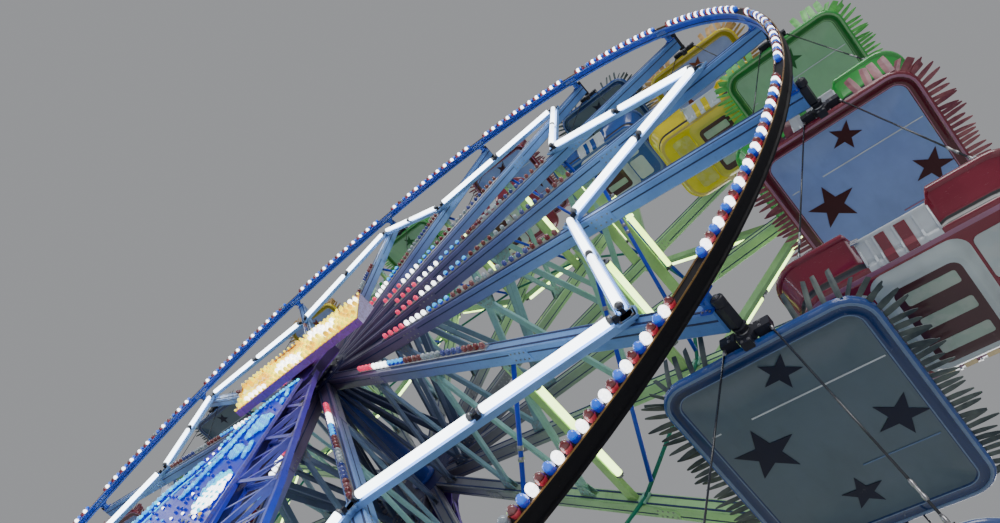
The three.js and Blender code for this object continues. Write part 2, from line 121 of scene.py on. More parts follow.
def on_wheel(radius, angle, y=0.0):
    """A point of the wheel, y along the axle from its middle."""
    return AXLE + Vector((radius * math.cos(angle), y, radius * math.sin(angle)))


def outward(angle):
    """The way from the axle to the rim."""
    return Vector((math.cos(angle), 0, math.sin(angle)))


def onward(angle):
    """The way round the rim, towards larger angles."""
    return Vector((-math.sin(angle), 0, math.cos(angle)))


def paint_name(k):
    """The cabins take the four colours in turn."""
    return PAINTS[(k + 3) % 4]


# Making meshes.


class Form:
    """Gathers corners, faces and their finishes, and makes one object of them."""

    def __init__(self):
        self.points, self.faces, self.finishes, self.smooth = [], [], [], []
        self.crisp = set()

    def face(self, corners, finish=0, smooth=False):
        self.faces.append(corners)
        self.finishes.append(finish)
        self.smooth.append(smooth)

    def skin(self, rings, finish, smooth=False, caps=True, loop=False):
        """Joins rings of equal length, each a closed line of points."""
        first, size = len(self.points), len(rings[0])
        last = self.bands(rings, [finish] * (len(rings) if loop else len(rings) - 1), smooth)
        if caps and not loop:
            self.close(first, size, finish, True)
            self.close(last, size, finish)

    def bands(self, rings, numbers, smooth=False):
        """Joins rings as skin does, with a finish for each band between two of them."""
        base, size = len(self.points), len(rings[0])
        for ring in rings:
            self.points.extend(Vector(p) for p in ring)
        for r, number in enumerate(numbers):
            low, high = base + r * size, base + (r + 1) % len(rings) * size
            for i in range(size):
                j = (i + 1) % size
                self.face((low + i, low + j, high + j, high + i), number, smooth)
        return base + (len(rings) - 1) * size

    def close(self, first, size, finish=0, turned=False):
        """One face over a ring of corners that is already there."""
        corners = tuple(range(first, first + size))
        self.face(corners[::-1] if turned else corners, finish)

    def beam(self, profile, start, end, up, finish=0, end_scale=(1.0, 1.0)):
        """Runs a flat profile of (side, up) pairs from start to end."""
        start, end = Vector(start), Vector(end)
        side, top = across(end - start, up)
        rings = []
        for place, (wide, high) in ((start, (1.0, 1.0)), (end, end_scale)):
            rings.append([place + side * u * wide + top * v * high for u, v in profile])
        self.skin(rings, finish)

    def along_x(self, profile, reach, y, z, finish=0):
        """A level bar along X, from -reach to reach."""
        self.beam(profile, (-reach, y, z), (reach, y, z), UP, finish)

    def along_y(self, profile, x, reach, z, finish=0):
        """A level bar along Y, from -reach to reach."""
        self.beam(profile, (x, -reach, z), (x, reach, z), UP, finish)

    def tube(self, path, radius, sides, finish, up=(0, 0, 1)):
        """Sweeps a round section along a line of points."""
        path = [Vector(p) for p in path]
        rings = []
        for i, place in enumerate(path):
            ahead = path[min(i + 1, len(path) - 1)] - path[max(i - 1, 0)]
            side, top = across(ahead, up)
            rings.append([place + side * math.cos(a) * radius + top * math.sin(a) * radius
                          for a in turns(sides)])
        self.skin(rings, finish, True)

    def lathe(self, base, axis, profile, sides, finish, smooth=True, caps=True):
        """Turns (radius, height) pairs about an axis that starts at base."""
        base, axis = Vector(base), Vector(axis).normalized()
        side, top = across(axis, (0.3, 0.5, 0.8))
        rings = [[base + axis * h + (side * math.cos(a) + top * math.sin(a)) * max(r, 1e-4)
                  for a in turns(sides)] for r, h in profile]
        self.skin(rings, finish, smooth, caps)

    def bolt(self, place, axis, radius, finish):
        """A six-sided bolt head on its washer, too small to be given rounded edges."""
        first = len(self.faces)
        self.lathe(place, axis, [(radius * 1.35, 0), (radius * 1.35, radius * 0.2)], 10, finish, False)
        self.lathe(place, axis, [(radius, radius * 0.2), (radius, radius * 0.85),
                                 (radius * 0.8, radius)], 6, finish, False)
        self.crisp.update(range(first, len(self.faces)))

    def plate(self, outline, lift, thickness, finish=0):
        """A flat sheet: outline is a list of points, lift its normal."""
        lift = Vector(lift).normalized()
        ring = [Vector(p) for p in outline]
        normal = Vector()
        for a, b in zip(ring, ring[1:] + ring[:1]):
            normal += (a - ring[0]).cross(b - ring[0])
        if normal.dot(lift) < 0:
            ring.reverse()
        self.skin([ring, [p + lift * thickness for p in ring]], finish)

    def object(self, name, looks, bevel=0.0, sharp=35.0):
        """Makes the object, its edges rounded by bevel where they are sharper than sharp."""
        mesh = bpy.data.meshes.new(name)
        mesh.from_pydata([tuple(p) for p in self.points], [], self.faces)
        for look in looks:
            mesh.materials.append(finish(look))
        mesh.polygons.foreach_set("material_index", self.finishes)
        mesh.polygons.foreach_set("use_smooth", self.smooth)
        mesh.validate()
        made = bpy.data.objects.new(name, mesh)
        bpy.context.scene.collection.objects.link(made)
        if bevel:
            self.weigh_edges(mesh, math.radians(sharp))
            softened(made, bevel)
        return made

    def weigh_edges(self, mesh, sharp):
        """Marks the edges that the bevel rounds: all sharp ones but those of the bolts."""
        shape = bmesh.new()
        shape.from_mesh(mesh)
        weight = shape.edges.layers.float.new("bevel_weight_edge")
        for edge in shape.edges:
            faces = edge.link_faces
            if len(faces) == 2 and faces[0].index not in self.crisp and edge.calc_face_angle() > sharp:
                edge[weight] = 1.0
        shape.to_mesh(mesh)
        shape.free()


def softened(made, width):
    """Rounds an object's marked edges."""
    edge = made.modifiers.new("Soft edges", "BEVEL")
    edge.width = width
    edge.segments = 1
    edge.limit_method = "WEIGHT"
    edge.harden_normals = False


def across(direction, up):
    """Two unit vectors square to a direction, the second as near to up as it can be."""
    direction, up = Vector(direction).normalized(), Vector(up)
    side = direction.cross(up)
    if side.length < 1e-6:
        side = direction.cross(Vector((1, 0, 0.01)))
    side.normalize()
    return side, side.cross(direction).normalized()


def turns(count, start=0.0):
    """Angles evenly spread over a full turn."""
    return [start + math.tau * i / count for i in range(count)]


def fours(a, b):
    """The four pairs of plus or minus a with plus or minus b."""
    return [(x, y) for x in (-a, a) for y in (-b, b)]


def box(width, height, chamfer=0.0):
    """A rectangle, or an octagon where it has a chamfer."""
    w, h, c = width / 2, height / 2, chamfer
    if not c:
        return [(-w, -h), (w, -h), (w, h), (-w, h)]
    return [(-w + c, -h), (w - c, -h), (w, -h + c), (w, h - c),
            (w - c, h), (-w + c, h), (-w, h - c), (-w, -h + c)]


def channel(width, height, wall):
    """A U section that opens upward."""
    w, h = width / 2, height / 2
    return [(-w, -h), (w, -h), (w, h), (w - wall, h), (w - wall, -h + wall),
            (-w + wall, -h + wall), (-w + wall, h), (-w, h)]


def rounded(half_x, half_y, radius, z, steps):
    """A level rectangle with round corners, counter-clockwise."""
    ring = []
    for cx, cy, turn in ((1, 1, 0), (-1, 1, 1), (-1, -1, 2), (1, -1, 3)):
        for i in range(steps + 1):
            a = (turn + i / steps) * math.pi / 2
            ring.append(Vector((cx * (half_x - radius) + radius * math.cos(a),
                                cy * (half_y - radius) + radius * math.sin(a), z)))
    return ring


def star_points(radius, turn):
    """The (x, y) corners of a five-pointed star."""
    corners = []
    for i in range(10):
        reach, angle = radius * (0.40 if i % 2 else 1), turn + i * math.pi / 5
        corners.append((reach * math.cos(angle), reach * math.sin(angle)))
    return corners


def along(points, pitch):
    """Points every pitch along a line through (x, z) pairs."""
    found, left = [points[0]], pitch
    for (x0, z0), (x1, z1) in zip(points, points[1:]):
        length, used = math.hypot(x1 - x0, z1 - z0), 0.0
        while length - used >= left:
            used += left
            left = pitch
            found.append((x0 + (x1 - x0) * used / length, z0 + (z1 - z0) * used / length))
        left -= length - used
    return found


def inside(outline, x, z, margin=0.0):
    """Whether a point lies in a closed outline, at least a margin from its sides."""
    hit = False
    for (x0, z0), (x1, z1) in zip(outline, outline[1:] + outline[:1]):
        if (z0 > z) != (z1 > z) and x < (x1 - x0) * (z - z0) / (z1 - z0) + x0:
            hit = not hit
        length = math.hypot(x1 - x0, z1 - z0)
        t = max(0.0, min(1.0, ((x - x0) * (x1 - x0) + (z - z0) * (z1 - z0)) / length ** 2))
        if math.hypot(x - x0 - (x1 - x0) * t, z - z0 - (z1 - z0) * t) < margin:
            return False
    return hit


def settle(piece, body, slot, *nodes):
    """Lets a finished piece ride on its body and stand for its frame nodes."""
    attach(piece, body)
    if nodes:
        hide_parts(*nodes)


# Shading.


class Value:
    """Wraps a node's socket, so that shader maths reads as plain sums."""

    def __init__(self, finish, socket):
        self.finish, self.socket = finish, socket

    def maths(self, operation, *others):
        node = self.finish.node("ShaderNodeMath", {"operation": operation})
        for slot, value in zip(node.inputs, (self, *others)):
            self.finish.feed(slot, value)
        return Value(self.finish, node.outputs[0])

    def __add__(self, other):
        return self.maths("ADD", other)

    def __mul__(self, other):
        return self.maths("MULTIPLY", other)

    def __sub__(self, other):
        return self.maths("SUBTRACT", other)

    def __rsub__(self, other):
        return self.maths("MULTIPLY_ADD", -1.0, other)

    __radd__ = __add__
    __rmul__ = __mul__

    def clear(self):
        """Keeps the value between 0 and 1."""
        node = self.finish.node("ShaderNodeClamp", {}, {0: self})
        return Value(self.finish, node.outputs[0])

    def between(self, low, high):
        """0 below low, 1 above high, and a smooth ramp from one to the other."""
        node = self.finish.node("ShaderNodeMapRange", {"interpolation_type": "SMOOTHSTEP"},
                                {"Value": self, "From Min": low, "From Max": high})
        return Value(self.finish, node.outputs[0])


class Finish:
    """One procedural material and the calls that wire it."""

    def __init__(self, name, base=(0.5, 0.5, 0.5), **constants):
        self.material = bpy.data.materials.new(name)
        self.material.use_nodes = True
        self.tree = self.material.node_tree
        self.shader = self.tree.nodes["Principled BSDF"]
        self.place = self.value("ShaderNodeTexCoord", {}, {}, "Object")
        self.shader.inputs["Base Color"].default_value = (*base, 1)
        for key, number in constants.items():
            self.shader.inputs[key.replace("_", " ")].default_value = number

    def feed(self, slot, value):
        """Links a value to a socket, or sets a plain number, vector or colour on it."""
        if isinstance(value, Value):
            self.tree.links.new(value.socket, slot)
        elif hasattr(value, "__len__") and len(value) == 3 and slot.type == "RGBA":
            slot.default_value = (*value, 1)
        else:
            slot.default_value = value

    def node(self, kind, settings, inputs=None):
        """Adds a node: its settings first, then what its sockets take."""
        node = self.tree.nodes.new(kind)
        for key, setting in settings.items():
            if key == "stops":
                self.stops(node.color_ramp, setting)
            else:
                setattr(node, key, setting)
        for key, value in (inputs or {}).items():
            self.feed(node.inputs[key], value)
        return node

    @staticmethod
    def stops(ramp, stops):
        while len(ramp.elements) < len(stops):
            ramp.elements.new(0.5)
        for element, (position, colour) in zip(ramp.elements, stops):
            element.position = position
            element.color = (*colour, 1)

    def value(self, kind, settings, inputs, output=0):
        return Value(self, self.node(kind, settings, inputs).outputs[output])

    def noise(self, scale, detail, rough=0.55, stretch=None):
        where = self.place
        if stretch:
            where = self.value("ShaderNodeVectorMath", {"operation": "MULTIPLY"}, {0: where, 1: stretch})
        return self.value("ShaderNodeTexNoise", {}, {
            "Vector": where, "Scale": scale, "Detail": detail, "Roughness": rough})

    def cells(self, scale, feature, output="Distance", place=None, randomness=1.0):
        return self.value("ShaderNodeTexVoronoi", {"feature": feature}, {
            "Vector": place or self.place, "Scale": scale, "Randomness": randomness}, output)

    def share(self, value, low, high):
        """0 where a value is low and 1 where it is high."""
        return self.value("ShaderNodeMapRange", {}, {"Value": value, "From Min": low, "From Max": high})

    def height(self, low, high):
        """0 at one height and 1 at another, for paint that changes from top to bottom."""
        return self.share(self.value("ShaderNodeSeparateXYZ", {}, {0: self.place}, 2), low, high)

    def from_axle(self, low, high):
        """0 at one distance from the axle and 1 at another, for paint, and its painted lamp glow, that
        changes along a spoke.
        """
        flat = self.value("ShaderNodeVectorMath", {"operation": "MULTIPLY_ADD"},
                          {0: self.place, 1: (1, 0, 1), 2: (0, 0, -AXLE.z)})
        return self.share(self.value("ShaderNodeVectorMath", {"operation": "LENGTH"}, {0: flat}, 1),
                          low, high)

    def ramp(self, share, stops):
        return self.value("ShaderNodeValToRGB", {"stops": stops}, {0: share})

    def mix(self, share, first, second):
        node = self.node("ShaderNodeMix", {"data_type": "RGBA"}, {0: share})
        self.feed(node.inputs[6], first)
        self.feed(node.inputs[7], second)
        return Value(self, node.outputs[2])

    def edges(self):
        """1 along edges that stick out, where paint wears first."""
        geometry = self.value("ShaderNodeNewGeometry", {}, {}, "Pointiness")
        return geometry.between(0.52, 0.60)

    def bump(self, height, strength, distance):
        self.feed(self.shader.inputs["Normal"], self.value("ShaderNodeBump", {}, {
            "Height": height, "Strength": strength, "Distance": distance}))

    def wire(self, **inputs):
        """Feeds the shader's sockets and gives the finished material."""
        for key, value in inputs.items():
            self.feed(self.shader.inputs[key.replace("_", " ")], value)
        return self.material


def shade(colour, factor):
    """A colour made darker or lighter."""
    return tuple(min(1.0, c * factor) for c in colour)


def toward(colour, other, share):
    """A colour taken a share of the way to another."""
    return tuple(a + (b - a) * share for a, b in zip(colour, other))


PRIMER = (0.30, 0.27, 0.25)
GRIME = (0.055, 0.05, 0.048)
BARE = (0.42, 0.43, 0.45)


def worn_paint(f, colour, pale, wear, gloss, grime):
    """Wires sprayed paint: cloudy tone, dust in streaks, chips and rust at the edges."""
    tone = f.noise(1.3, 4).between(0.3, 0.7)
    fine = f.noise(46, 2)
    streak = f.noise(3.0, 5, 0.65, stretch=(7.0, 7.0, 0.6)).between(0.52, 0.78)
    chips = ((f.noise(23, 6, 0.7) + f.edges() * 0.16).between(0.66, 0.69) * wear).clear()
    painted = f.mix(tone, colour, pale)
    dusty = f.mix(streak * grime * 0.5, painted, GRIME)
    rust = f.mix(f.noise(60, 3), (0.16, 0.06, 0.025), PRIMER)
    f.bump(chips * -0.6 + fine * 0.12 + f.noise(180, 1) * 0.06, 0.35, 0.004)
    return f.wire(Base_Color=f.mix(chips, dusty, rust), Metallic=chips * 0.3,
                  Roughness=(streak * 0.25 + chips * 0.35 + tone * 0.08 + gloss).clear())


def steel_paint(name, colour, wear=0.5, gloss=0.32, grime=0.5, coat=0.15, glow=0.0):
    """Sprayed paint of one colour on steel; glow makes the whole finish glow evenly in its colour, a
    painted glow for the light of the lamps that sit on it.
    """
    f = Finish(name, colour, Coat_Weight=coat, Coat_Roughness=0.15, Specular_IOR_Level=0.25,
               Emission_Color=(*colour, 1), Emission_Strength=glow)
    pale = toward(shade(colour, 1.18), (1, 1, 1), 0.02 * coat)
    return worn_paint(f, shade(colour, 0.84), pale, wear, gloss, grime)


def graded_paint(name, where, stops, pale=0.0):
    """Paint that goes through several colours; where gives the share along them for a Finish."""
    f = Finish(name, stops[1][1], Coat_Weight=0.15, Coat_Roughness=0.15, Specular_IOR_Level=0.3)
    share = where(f)
    # pale takes the colours toward a pale sky blue; the laces' copy uses it as a painted highlight.
    tint = f.ramp(share, [(at, toward(c, (0.55, 0.72, 1.0), pale)) for at, c in stops])
    light = f.ramp(share, [(at, toward(shade(c, 1.25), (0.8, 0.9, 1.0), 0.02 + pale)) for at, c in stops])
    return worn_paint(f, tint, light, 0.4, 0.3, 0.4)


def down_tower(f):
    return f.height(11.9, 3.0)


def along_spoke(f):
    return f.from_axle(0.5, 8.5)


def galvanised(name, colour=BARE, rough=0.42):
    """Zinc-coated or bare steel with its crystal flakes and a dull bloom."""
    f = Finish(name, colour, Metallic=0.85)
    flakes = f.cells(70, "F1", "Color")
    grey = f.value("ShaderNodeRGBToBW", {}, {0: flakes})
    bloom = f.noise(5, 5).between(0.45, 0.75)
    base = f.mix(grey * 0.45, shade(colour, 0.82), shade(colour, 1.25))
    base = f.mix(bloom * 0.4, base, toward(GRIME, colour, 0.5))
    f.bump(f.noise(90, 3), 0.12, 0.003)
    return f.wire(Base_Color=base, Roughness=(grey * 0.12 + bloom * 0.2 + rough - 0.08).clear())


def moulded(name, colour, rough=0.20, scuff=0.5, coat=0.5):
    """Glass fibre in gel coat: a soft mottle, fine scratches, dull dust on top."""
    f = Finish(name, colour, Coat_Weight=coat, Coat_Roughness=0.06, Specular_IOR_Level=0.4)
    mottle = f.noise(2.4, 3).between(0.3, 0.75)
    scratch = f.noise(16, 8, 0.75, stretch=(1.0, 1.0, 5.0)).between(0.60, 0.72)
    rub = (f.edges() * f.noise(9, 4).between(0.42, 0.6) * scuff).clear()
    base = f.mix(mottle, shade(colour, 0.86), shade(colour, 1.08))
    base = f.mix(scratch * 0.16, base, toward(colour, (0.8, 0.8, 0.8), 0.6))
    base = f.mix(rub * 0.6, base, toward(colour, (0.62, 0.6, 0.56), 0.7))
    f.bump(f.noise(7, 2) * 0.6 + scratch * -0.12, 0.10, 0.01)
    return f.wire(Base_Color=base, Roughness=(scratch * 0.25 + rub * 0.3 + mottle * 0.06 + rough).clear())


def roof_lining(name, colour):
    """The inside of a roof: cloudy gel coat with stains and rain marks."""
    f = Finish(name, colour, Coat_Weight=0.25, Coat_Roughness=0.22)
    cloud = f.noise(1.7, 4, 0.6).between(0.25, 0.8)
    stain = f.noise(5.5, 6, 0.7).between(0.55, 0.8)
    rain = f.noise(9.0, 4, 0.6, stretch=(1.0, 0.25, 1.0)).between(0.50, 0.75)
    base = f.mix(cloud, shade(colour, 0.88), shade(colour, 1.08))
    base = f.mix(stain * 0.2, base, shade(colour, 0.7))
    base = f.mix(rain * 0.18, base, shade(colour, 0.6))
    f.bump(f.noise(60, 3), 0.06, 0.004)
    return f.wire(Base_Color=base, Roughness=(stain * 0.2 + cloud * 0.1 + 0.28).clear())


def lamp_glass(name, colour, glow, whiten=0.0):
    """A cap lamp: ribbed coloured plastic, lit from inside or dark."""
    f = Finish(name, colour, Coat_Weight=1.0, Coat_Roughness=0.04, Emission_Strength=glow)
    each = f.noise(8.0, 0)
    ribs = f.noise(70, 2)
    base = f.mix(each.between(0.3, 0.7), shade(colour, 0.75), toward(colour, (1, 1, 1), 0.08))
    light = f.mix(ribs.between(0.35, 0.7), shade(colour, 0.8), toward(colour, (1, 1, 1), whiten))
    f.bump(ribs, 0.2, 0.004)
    return f.wire(Base_Color=base, Roughness=ribs * 0.12 + 0.08, Emission_Color=light)


def light_tube(name, colour, glow):
    """A straight fluorescent tube, a little brighter in patches along its length."""
    f = Finish(name, colour, Coat_Weight=0.6, Coat_Roughness=0.05, Emission_Strength=glow)
    patches = f.noise(1.4, 2)
    light = f.mix(patches.between(0.3, 0.7), shade(colour, 0.92), toward(colour, (1, 1, 1), 0.3))
    return f.wire(Base_Color=f.mix(patches, shade(colour, 0.9), colour),
                  Roughness=patches * 0.1 + 0.1, Emission_Color=light)


def vinyl(name, colour):
    """Embossed vinyl with a leather-like grain, paler where it is sat on."""
    f = Finish(name, colour, Sheen_Weight=0.15)
    grain = f.cells(240, "DISTANCE_TO_EDGE")
    worn = f.noise(4.2, 4).between(0.4, 0.7)
    base = f.mix(worn * 0.5, colour, toward(shade(colour, 1.3), (0.5, 0.5, 0.5), 0.2))
    base = f.mix(grain.between(0.0, 0.05) * -0.25 + 0.25, base, shade(colour, 0.7))
    f.bump(grain.between(0.0, 0.12), 0.25, 0.002)
    return f.wire(Base_Color=base, Roughness=(worn * -0.12 + 0.52).clear())


def tread_plate(name, colour):
    """Chequered plate: raised lozenges in two directions, worn bright on top."""
    f = Finish(name, colour, Metallic=0.8)
    bars = []
    for turn in (45, -45):
        node = f.value("ShaderNodeMapping", {"vector_type": "POINT"}, {
            "Vector": f.place, "Rotation": (0, 0, math.radians(turn)), "Scale": (14, 42, 1)})
        bars.append(1 - f.cells(1.0, "F1", "Distance", node, 0.0).between(0.22, 0.34))
    raised = (bars[0] + bars[1]).clear()
    dirt = f.noise(6, 6, 0.65).between(0.4, 0.75)
    base = f.mix(raised, shade(colour, 0.6), shade(colour, 1.25))
    base = f.mix(dirt * 0.5, base, GRIME)
    f.bump(raised, 0.6, 0.004)
    return f.wire(Base_Color=base, Roughness=(dirt * 0.35 + raised * -0.12 + 0.45).clear())


def leaf_sheet(name, colour):
    """Painted plastic leaf with fine ribs and faded patches."""
    f = Finish(name, colour, Coat_Weight=0.15, Coat_Roughness=0.3)
    ribs = f.noise(30, 3, stretch=(1.0, 1.0, 0.3))
    fade = f.noise(6, 3).between(0.3, 0.75)
    base = f.mix(fade, shade(colour, 0.7), toward(shade(colour, 1.3), (0.8, 0.8, 0.5), 0.10))
    f.bump(ribs, 0.3, 0.004)
    return f.wire(Base_Color=base, Roughness=(ribs * 0.3 + 0.35).clear())


def sign_face(name):
    """Backlit acrylic with warm clouds of light behind it, from orange to pale yellow."""
    f = Finish(name, (0.85, 0.42, 0.05), Coat_Weight=0.8, Coat_Roughness=0.06, Emission_Strength=1.3)
    cloud = f.noise(3.2, 3, 0.6).between(0.32, 0.68)
    dust = f.noise(12, 6, 0.7).between(0.5, 0.75)
    tint = f.ramp(cloud, ((0.0, (0.85, 0.38, 0.0)), (0.35, (1.0, 0.62, 0.0)), (0.7, (1.0, 0.80, 0.0)),
                          (1.0, (1.0, 0.90, 0.12))))
    return f.wire(Base_Color=f.mix(dust * 0.2, tint, (0.25, 0.17, 0.1)),
                  Roughness=(dust * 0.3 + 0.14).clear(), Emission_Color=tint)


def floor_paper(name):
    """Plain pale studio paper."""
    f = Finish(name, (0.78, 0.78, 0.78))
    cloud = f.noise(0.15, 2)
    return f.wire(Base_Color=f.mix(cloud, (0.76, 0.765, 0.77), (0.80, 0.805, 0.81)),
                  Roughness=cloud * 0.1 + 0.75)


FINISHES = {}

# Each cabin colour's highlight lines, underside, roof lining, stars and leaves.
# The highlight lines are painted highlights along the rolled edges, dimmer on the yellow cabins.
CABIN_TINTS = {
    "blue": ((0.12, 0.20, 0.36), (0.48, 0.56, 0.58), (0.085, 0.135, 0.18), (0.003, 0.006, 0.03),
             (0.015, 0.04, 0.06)),
    "yellow": ((0.60, 0.44, 0.10), (0.60, 0.52, 0.05), (0.28, 0.36, 0.68), (0.20, 0.05, 0.02),
               (0.46, 0.26, 0.07)),
    "green": ((0.20, 0.46, 0.20), (0.30, 0.52, 0.32), (0.27, 0.54, 0.32), (0.01, 0.13, 0.03),
              (0.10, 0.55, 0.10)),
    "maroon": ((0.34, 0.14, 0.24), (0.48, 0.56, 0.58), (0.21, 0.32, 0.68), (0.045, 0.003, 0.008),
               (0.22, 0.03, 0.07)),
}

# Finishes whose colours are fixed: what makes each kind, and the values of each finish.
FIXED_FINISHES = (
    (steel_paint, {
        "rim_dark": ("Rim outside", (0.004, 0.004, 0.007), 0.1, 0.6, 0.1, 0.0),
        "seam": ("Spoke seam", (0.018, 0.03, 0.11), 0.2, 0.45, 0.3),
        "hub": ("Hub navy", (0.012, 0.012, 0.06), 0.3, 0.32, 0.3),
        "star": ("Star tray paint", (0.16, 0.32, 0.66), 0.35, 0.28, 0.35),
        "star_rear": ("Rear star tray paint", (0.26, 0.48, 0.22), 0.35, 0.28, 0.35),
        "skirt": ("Star skirt paint", (0.20, 0.38, 0.74), 0.3, 0.28, 0.3),
        "cross": ("Cross beam paint", (0.34, 0.58, 0.22), 0.4, 0.3, 0.4),
        "rod_teal": ("Rod teal", (0.004, 0.16, 0.11), 0.4, 0.28, 0.3),
        "sleeve": ("Axle sleeve blue", (0.01, 0.03, 0.20), 0.4, 0.28, 0.4),
        "base": ("Sill paint", (0.10, 0.12, 0.15), 0.8, 0.42, 0.9),
        "housing": ("Bearing housing paint", (0.20, 0.015, 0.14), 0.3, 0.34, 0.4),
        "dark": ("Dark bracket paint", (0.02, 0.022, 0.035), 0.4, 0.45, 0.4),
        "thin_rod": ("Stay paint", (0.02, 0.024, 0.035), 0.15, 0.16, 0.2, 0.6),
        "sign_case": ("Sign case violet", (0.30, 0.10, 0.52), 0.35, 0.28, 0.4),
        "sign_end": ("Sign end lavender", (0.48, 0.42, 0.72), 0.35, 0.28, 0.4),
        "sign_edge": ("Sign edge orange", (0.46, 0.20, 0.05), 0.35, 0.32, 0.4),
        # The bulb panel's paint glows evenly: painted light from its bulbs, though the panel is no lamp.
        "panel": ("Bulb panel paint", (0.0, 0.005, 0.32), 0.2, 0.3, 0.2, 0.0, 1.0),
    }),
    (galvanised, {
        "rim_bead": ("Rim bead", (0.34, 0.20, 0.07), 0.3),
        "zinc": ("Zinc plate",),
        "stay": ("Bar steel", (0.66, 0.67, 0.70), 0.25),
        "bolt": ("Bolt steel", (0.36, 0.36, 0.38), 0.35),
        "tube_cap": ("Tube cap", (0.30, 0.31, 0.33), 0.4),
    }),
    (moulded, {
        "white_mould": ("White moulding", (0.62, 0.68, 0.74)),
        "floor_dark": ("Floor pan", (0.06, 0.012, 0.02), 0.35),
        "slot": ("Floor slot", (0.34, 0.45, 0.38), 0.35),
        "cream": ("Cream tab", (0.75, 0.58, 0.28), 0.4),
        "groove": ("Tub groove", (0.02, 0.022, 0.03), 0.4),
    }),
    (tread_plate, {
        "deck": ("Deck plate", (0.45, 0.46, 0.47)),
        "mat": ("Footwell plate", (0.30, 0.31, 0.32)),
    }),
    (light_tube, {
        "tube_white": ("White tube", (0.84, 0.94, 1.0), 7.0),
        "tube_green": ("Green tube", (0.66, 1.0, 0.16), 5.0),
    }),
    (lamp_glass, {
        "lamp_white": ("White lamp", (0.92, 0.95, 1.0), 5.0, 0.8),
        "lamp_blue": ("Blue lamp", (0.0, 0.03, 0.70), 0.25),
        "lamp_cyan": ("Cyan lamp", (0.0, 0.42, 1.0), 1.2),
        "lamp_sky": ("Sky lamp", (0.0, 0.72, 1.0), 1.7),
        "lamp_azure": ("Azure lamp", (0.0, 0.15, 0.95), 0.7),
        "lamp_red": ("Red lamp", (1.0, 0.02, 0.12), 0.9),
        "lamp_warm": ("Warm lamp", (1.0, 0.86, 0.02), 1.8),
        "lamp_amber": ("Amber lamp", (1.0, 0.60, 0.0), 1.0),
        "dark_red": ("Unlit red lamp", (0.20, 0.008, 0.015), 0.06),
        "base_red": ("Red lamp base", (0.55, 0.03, 0.06), 0.25),
        "dark_clear": ("Unlit clear lamp", (0.42, 0.50, 0.58), 0.0),
        "dark_blue": ("Unlit blue lamp", (0.01, 0.03, 0.30), 0.08),
    }),
)


def recipes(c):
    """What makes each finish, and its values, c being the scene's colour settings."""
    head, middle, foot = tuple(c.tower_head), tuple(c.tower_middle), tuple(c.tower_foot)
    tower = ((0.0, head), (0.28, toward(head, middle, 0.6)), (0.55, middle), (1.0, foot))
    # A much darker copy of the tower paint for the webs between the chords' flanges and between the head
    # plates: painted shade.
    web = [(at, shade(colour, 0.22)) for at, colour in tower]
    front, rear = tuple(c.spoke_front), tuple(c.spoke_rear)
    # Both spoke ramps turn a pinkish violet towards the hub, a painted glow of the red lamps on the front
    # spokes, and darker still at the root.
    lamp_glow_mauve, lattice = (0.125, 0.085, 0.19), tuple(c.lattice)
    front_stops = ((0.0, shade(lamp_glow_mauve, 0.4)), (0.20, lamp_glow_mauve), (0.42, toward(lamp_glow_mauve, front, 0.5)),
                   (0.66, toward(front, (0.3, 0.5, 0.7), 0.25)), (1.0, shade(front, 0.8)))
    rear_stops = ((0.0, shade(lamp_glow_mauve, 0.3)), (0.25, toward(lamp_glow_mauve, rear, 0.25)), (0.5, rear),
                  (0.8, shade(rear, 1.1)), (1.0, toward(rear, (0.1, 0.4, 0.3), 0.4)))
    web_stops = ((0.0, (0.015, 0.02, 0.07)), (0.18, (0.10, 0.14, 0.26)),
                 (0.34, toward(lattice, (0.16, 0.28, 0.45), 0.5)), (0.6, lattice), (1.0, lattice))
    found = {name: (make, *values) for make, table in FIXED_FINISHES for name, values in table.items()}
    found.update({
        "rim": (steel_paint, "Rim blue", tuple(c.rim), 0.35, 0.26, 0.3),
        "rim_flange": (steel_paint, "Rim flange blue", toward(c.rim, (0.2, 0.45, 0.9), 0.25),
                       0.35, 0.26, 0.3),
        "spoke_front": (graded_paint, "Front spoke paint", along_spoke, front_stops),
        "spoke_rear": (graded_paint, "Rear spoke paint", along_spoke, rear_stops),
        "lattice": (graded_paint, "Lattice paint", along_spoke, web_stops),
        "rod": (steel_paint, "Rod blue", tuple(c.rod), 0.4, 0.28, 0.3),
        "tower": (graded_paint, "Tower paint", down_tower, tower),
        # A paler copy of the tower paint for the laces, the outer chord's thin strip and the bulb panel's
        # raised edge: painted highlight.
        "tower_lace": (graded_paint, "Tower lace paint", down_tower, tower, 0.10),
        "tower_web": (graded_paint, "Tower web paint", down_tower, web),
        "cushion": (vinyl, "Cushion vinyl", (0.03, 0.035, 0.05)),
        "sign": (sign_face, "Sign face"),
        "floor": (floor_paper, "Studio floor"),
    })
    for paint, (highlight_line, belly, lining, star, leaves) in CABIN_TINTS.items():
        colour, title = tuple(getattr(c, "cabin_" + paint)), paint.title()
        found.update({
            "mould_" + paint: (moulded, title + " moulding", colour),
            # A darker copy of the cabin colour for the band under the roof's lip: painted shade.
            "band_" + paint: (moulded, title + " dark band", shade(colour, 0.42)),
            # Paler copies of the cabin colour along the rolled edges, dimmer on yellow: painted highlight
            # lines.
            "trim_" + paint: (moulded, title + " trim", highlight_line),
            "star_" + paint: (moulded, title + " star", star, 0.5, 0.0, 0.0),
            "belly_" + paint: (moulded, title + " underside", belly, 0.3),
            "lining_" + paint: (roof_lining, title + " lining", lining),
            "leaf_" + paint: (leaf_sheet, title + " leaf", leaves),
        })
    return found


def finish(name):
    """The named finish, made on first use."""
    if name not in FINISHES:
        make, *values = recipes(bpy.context.scene.wheel_colours)[name]
        FINISHES[name] = make(*values)
    return FINISHES[name]


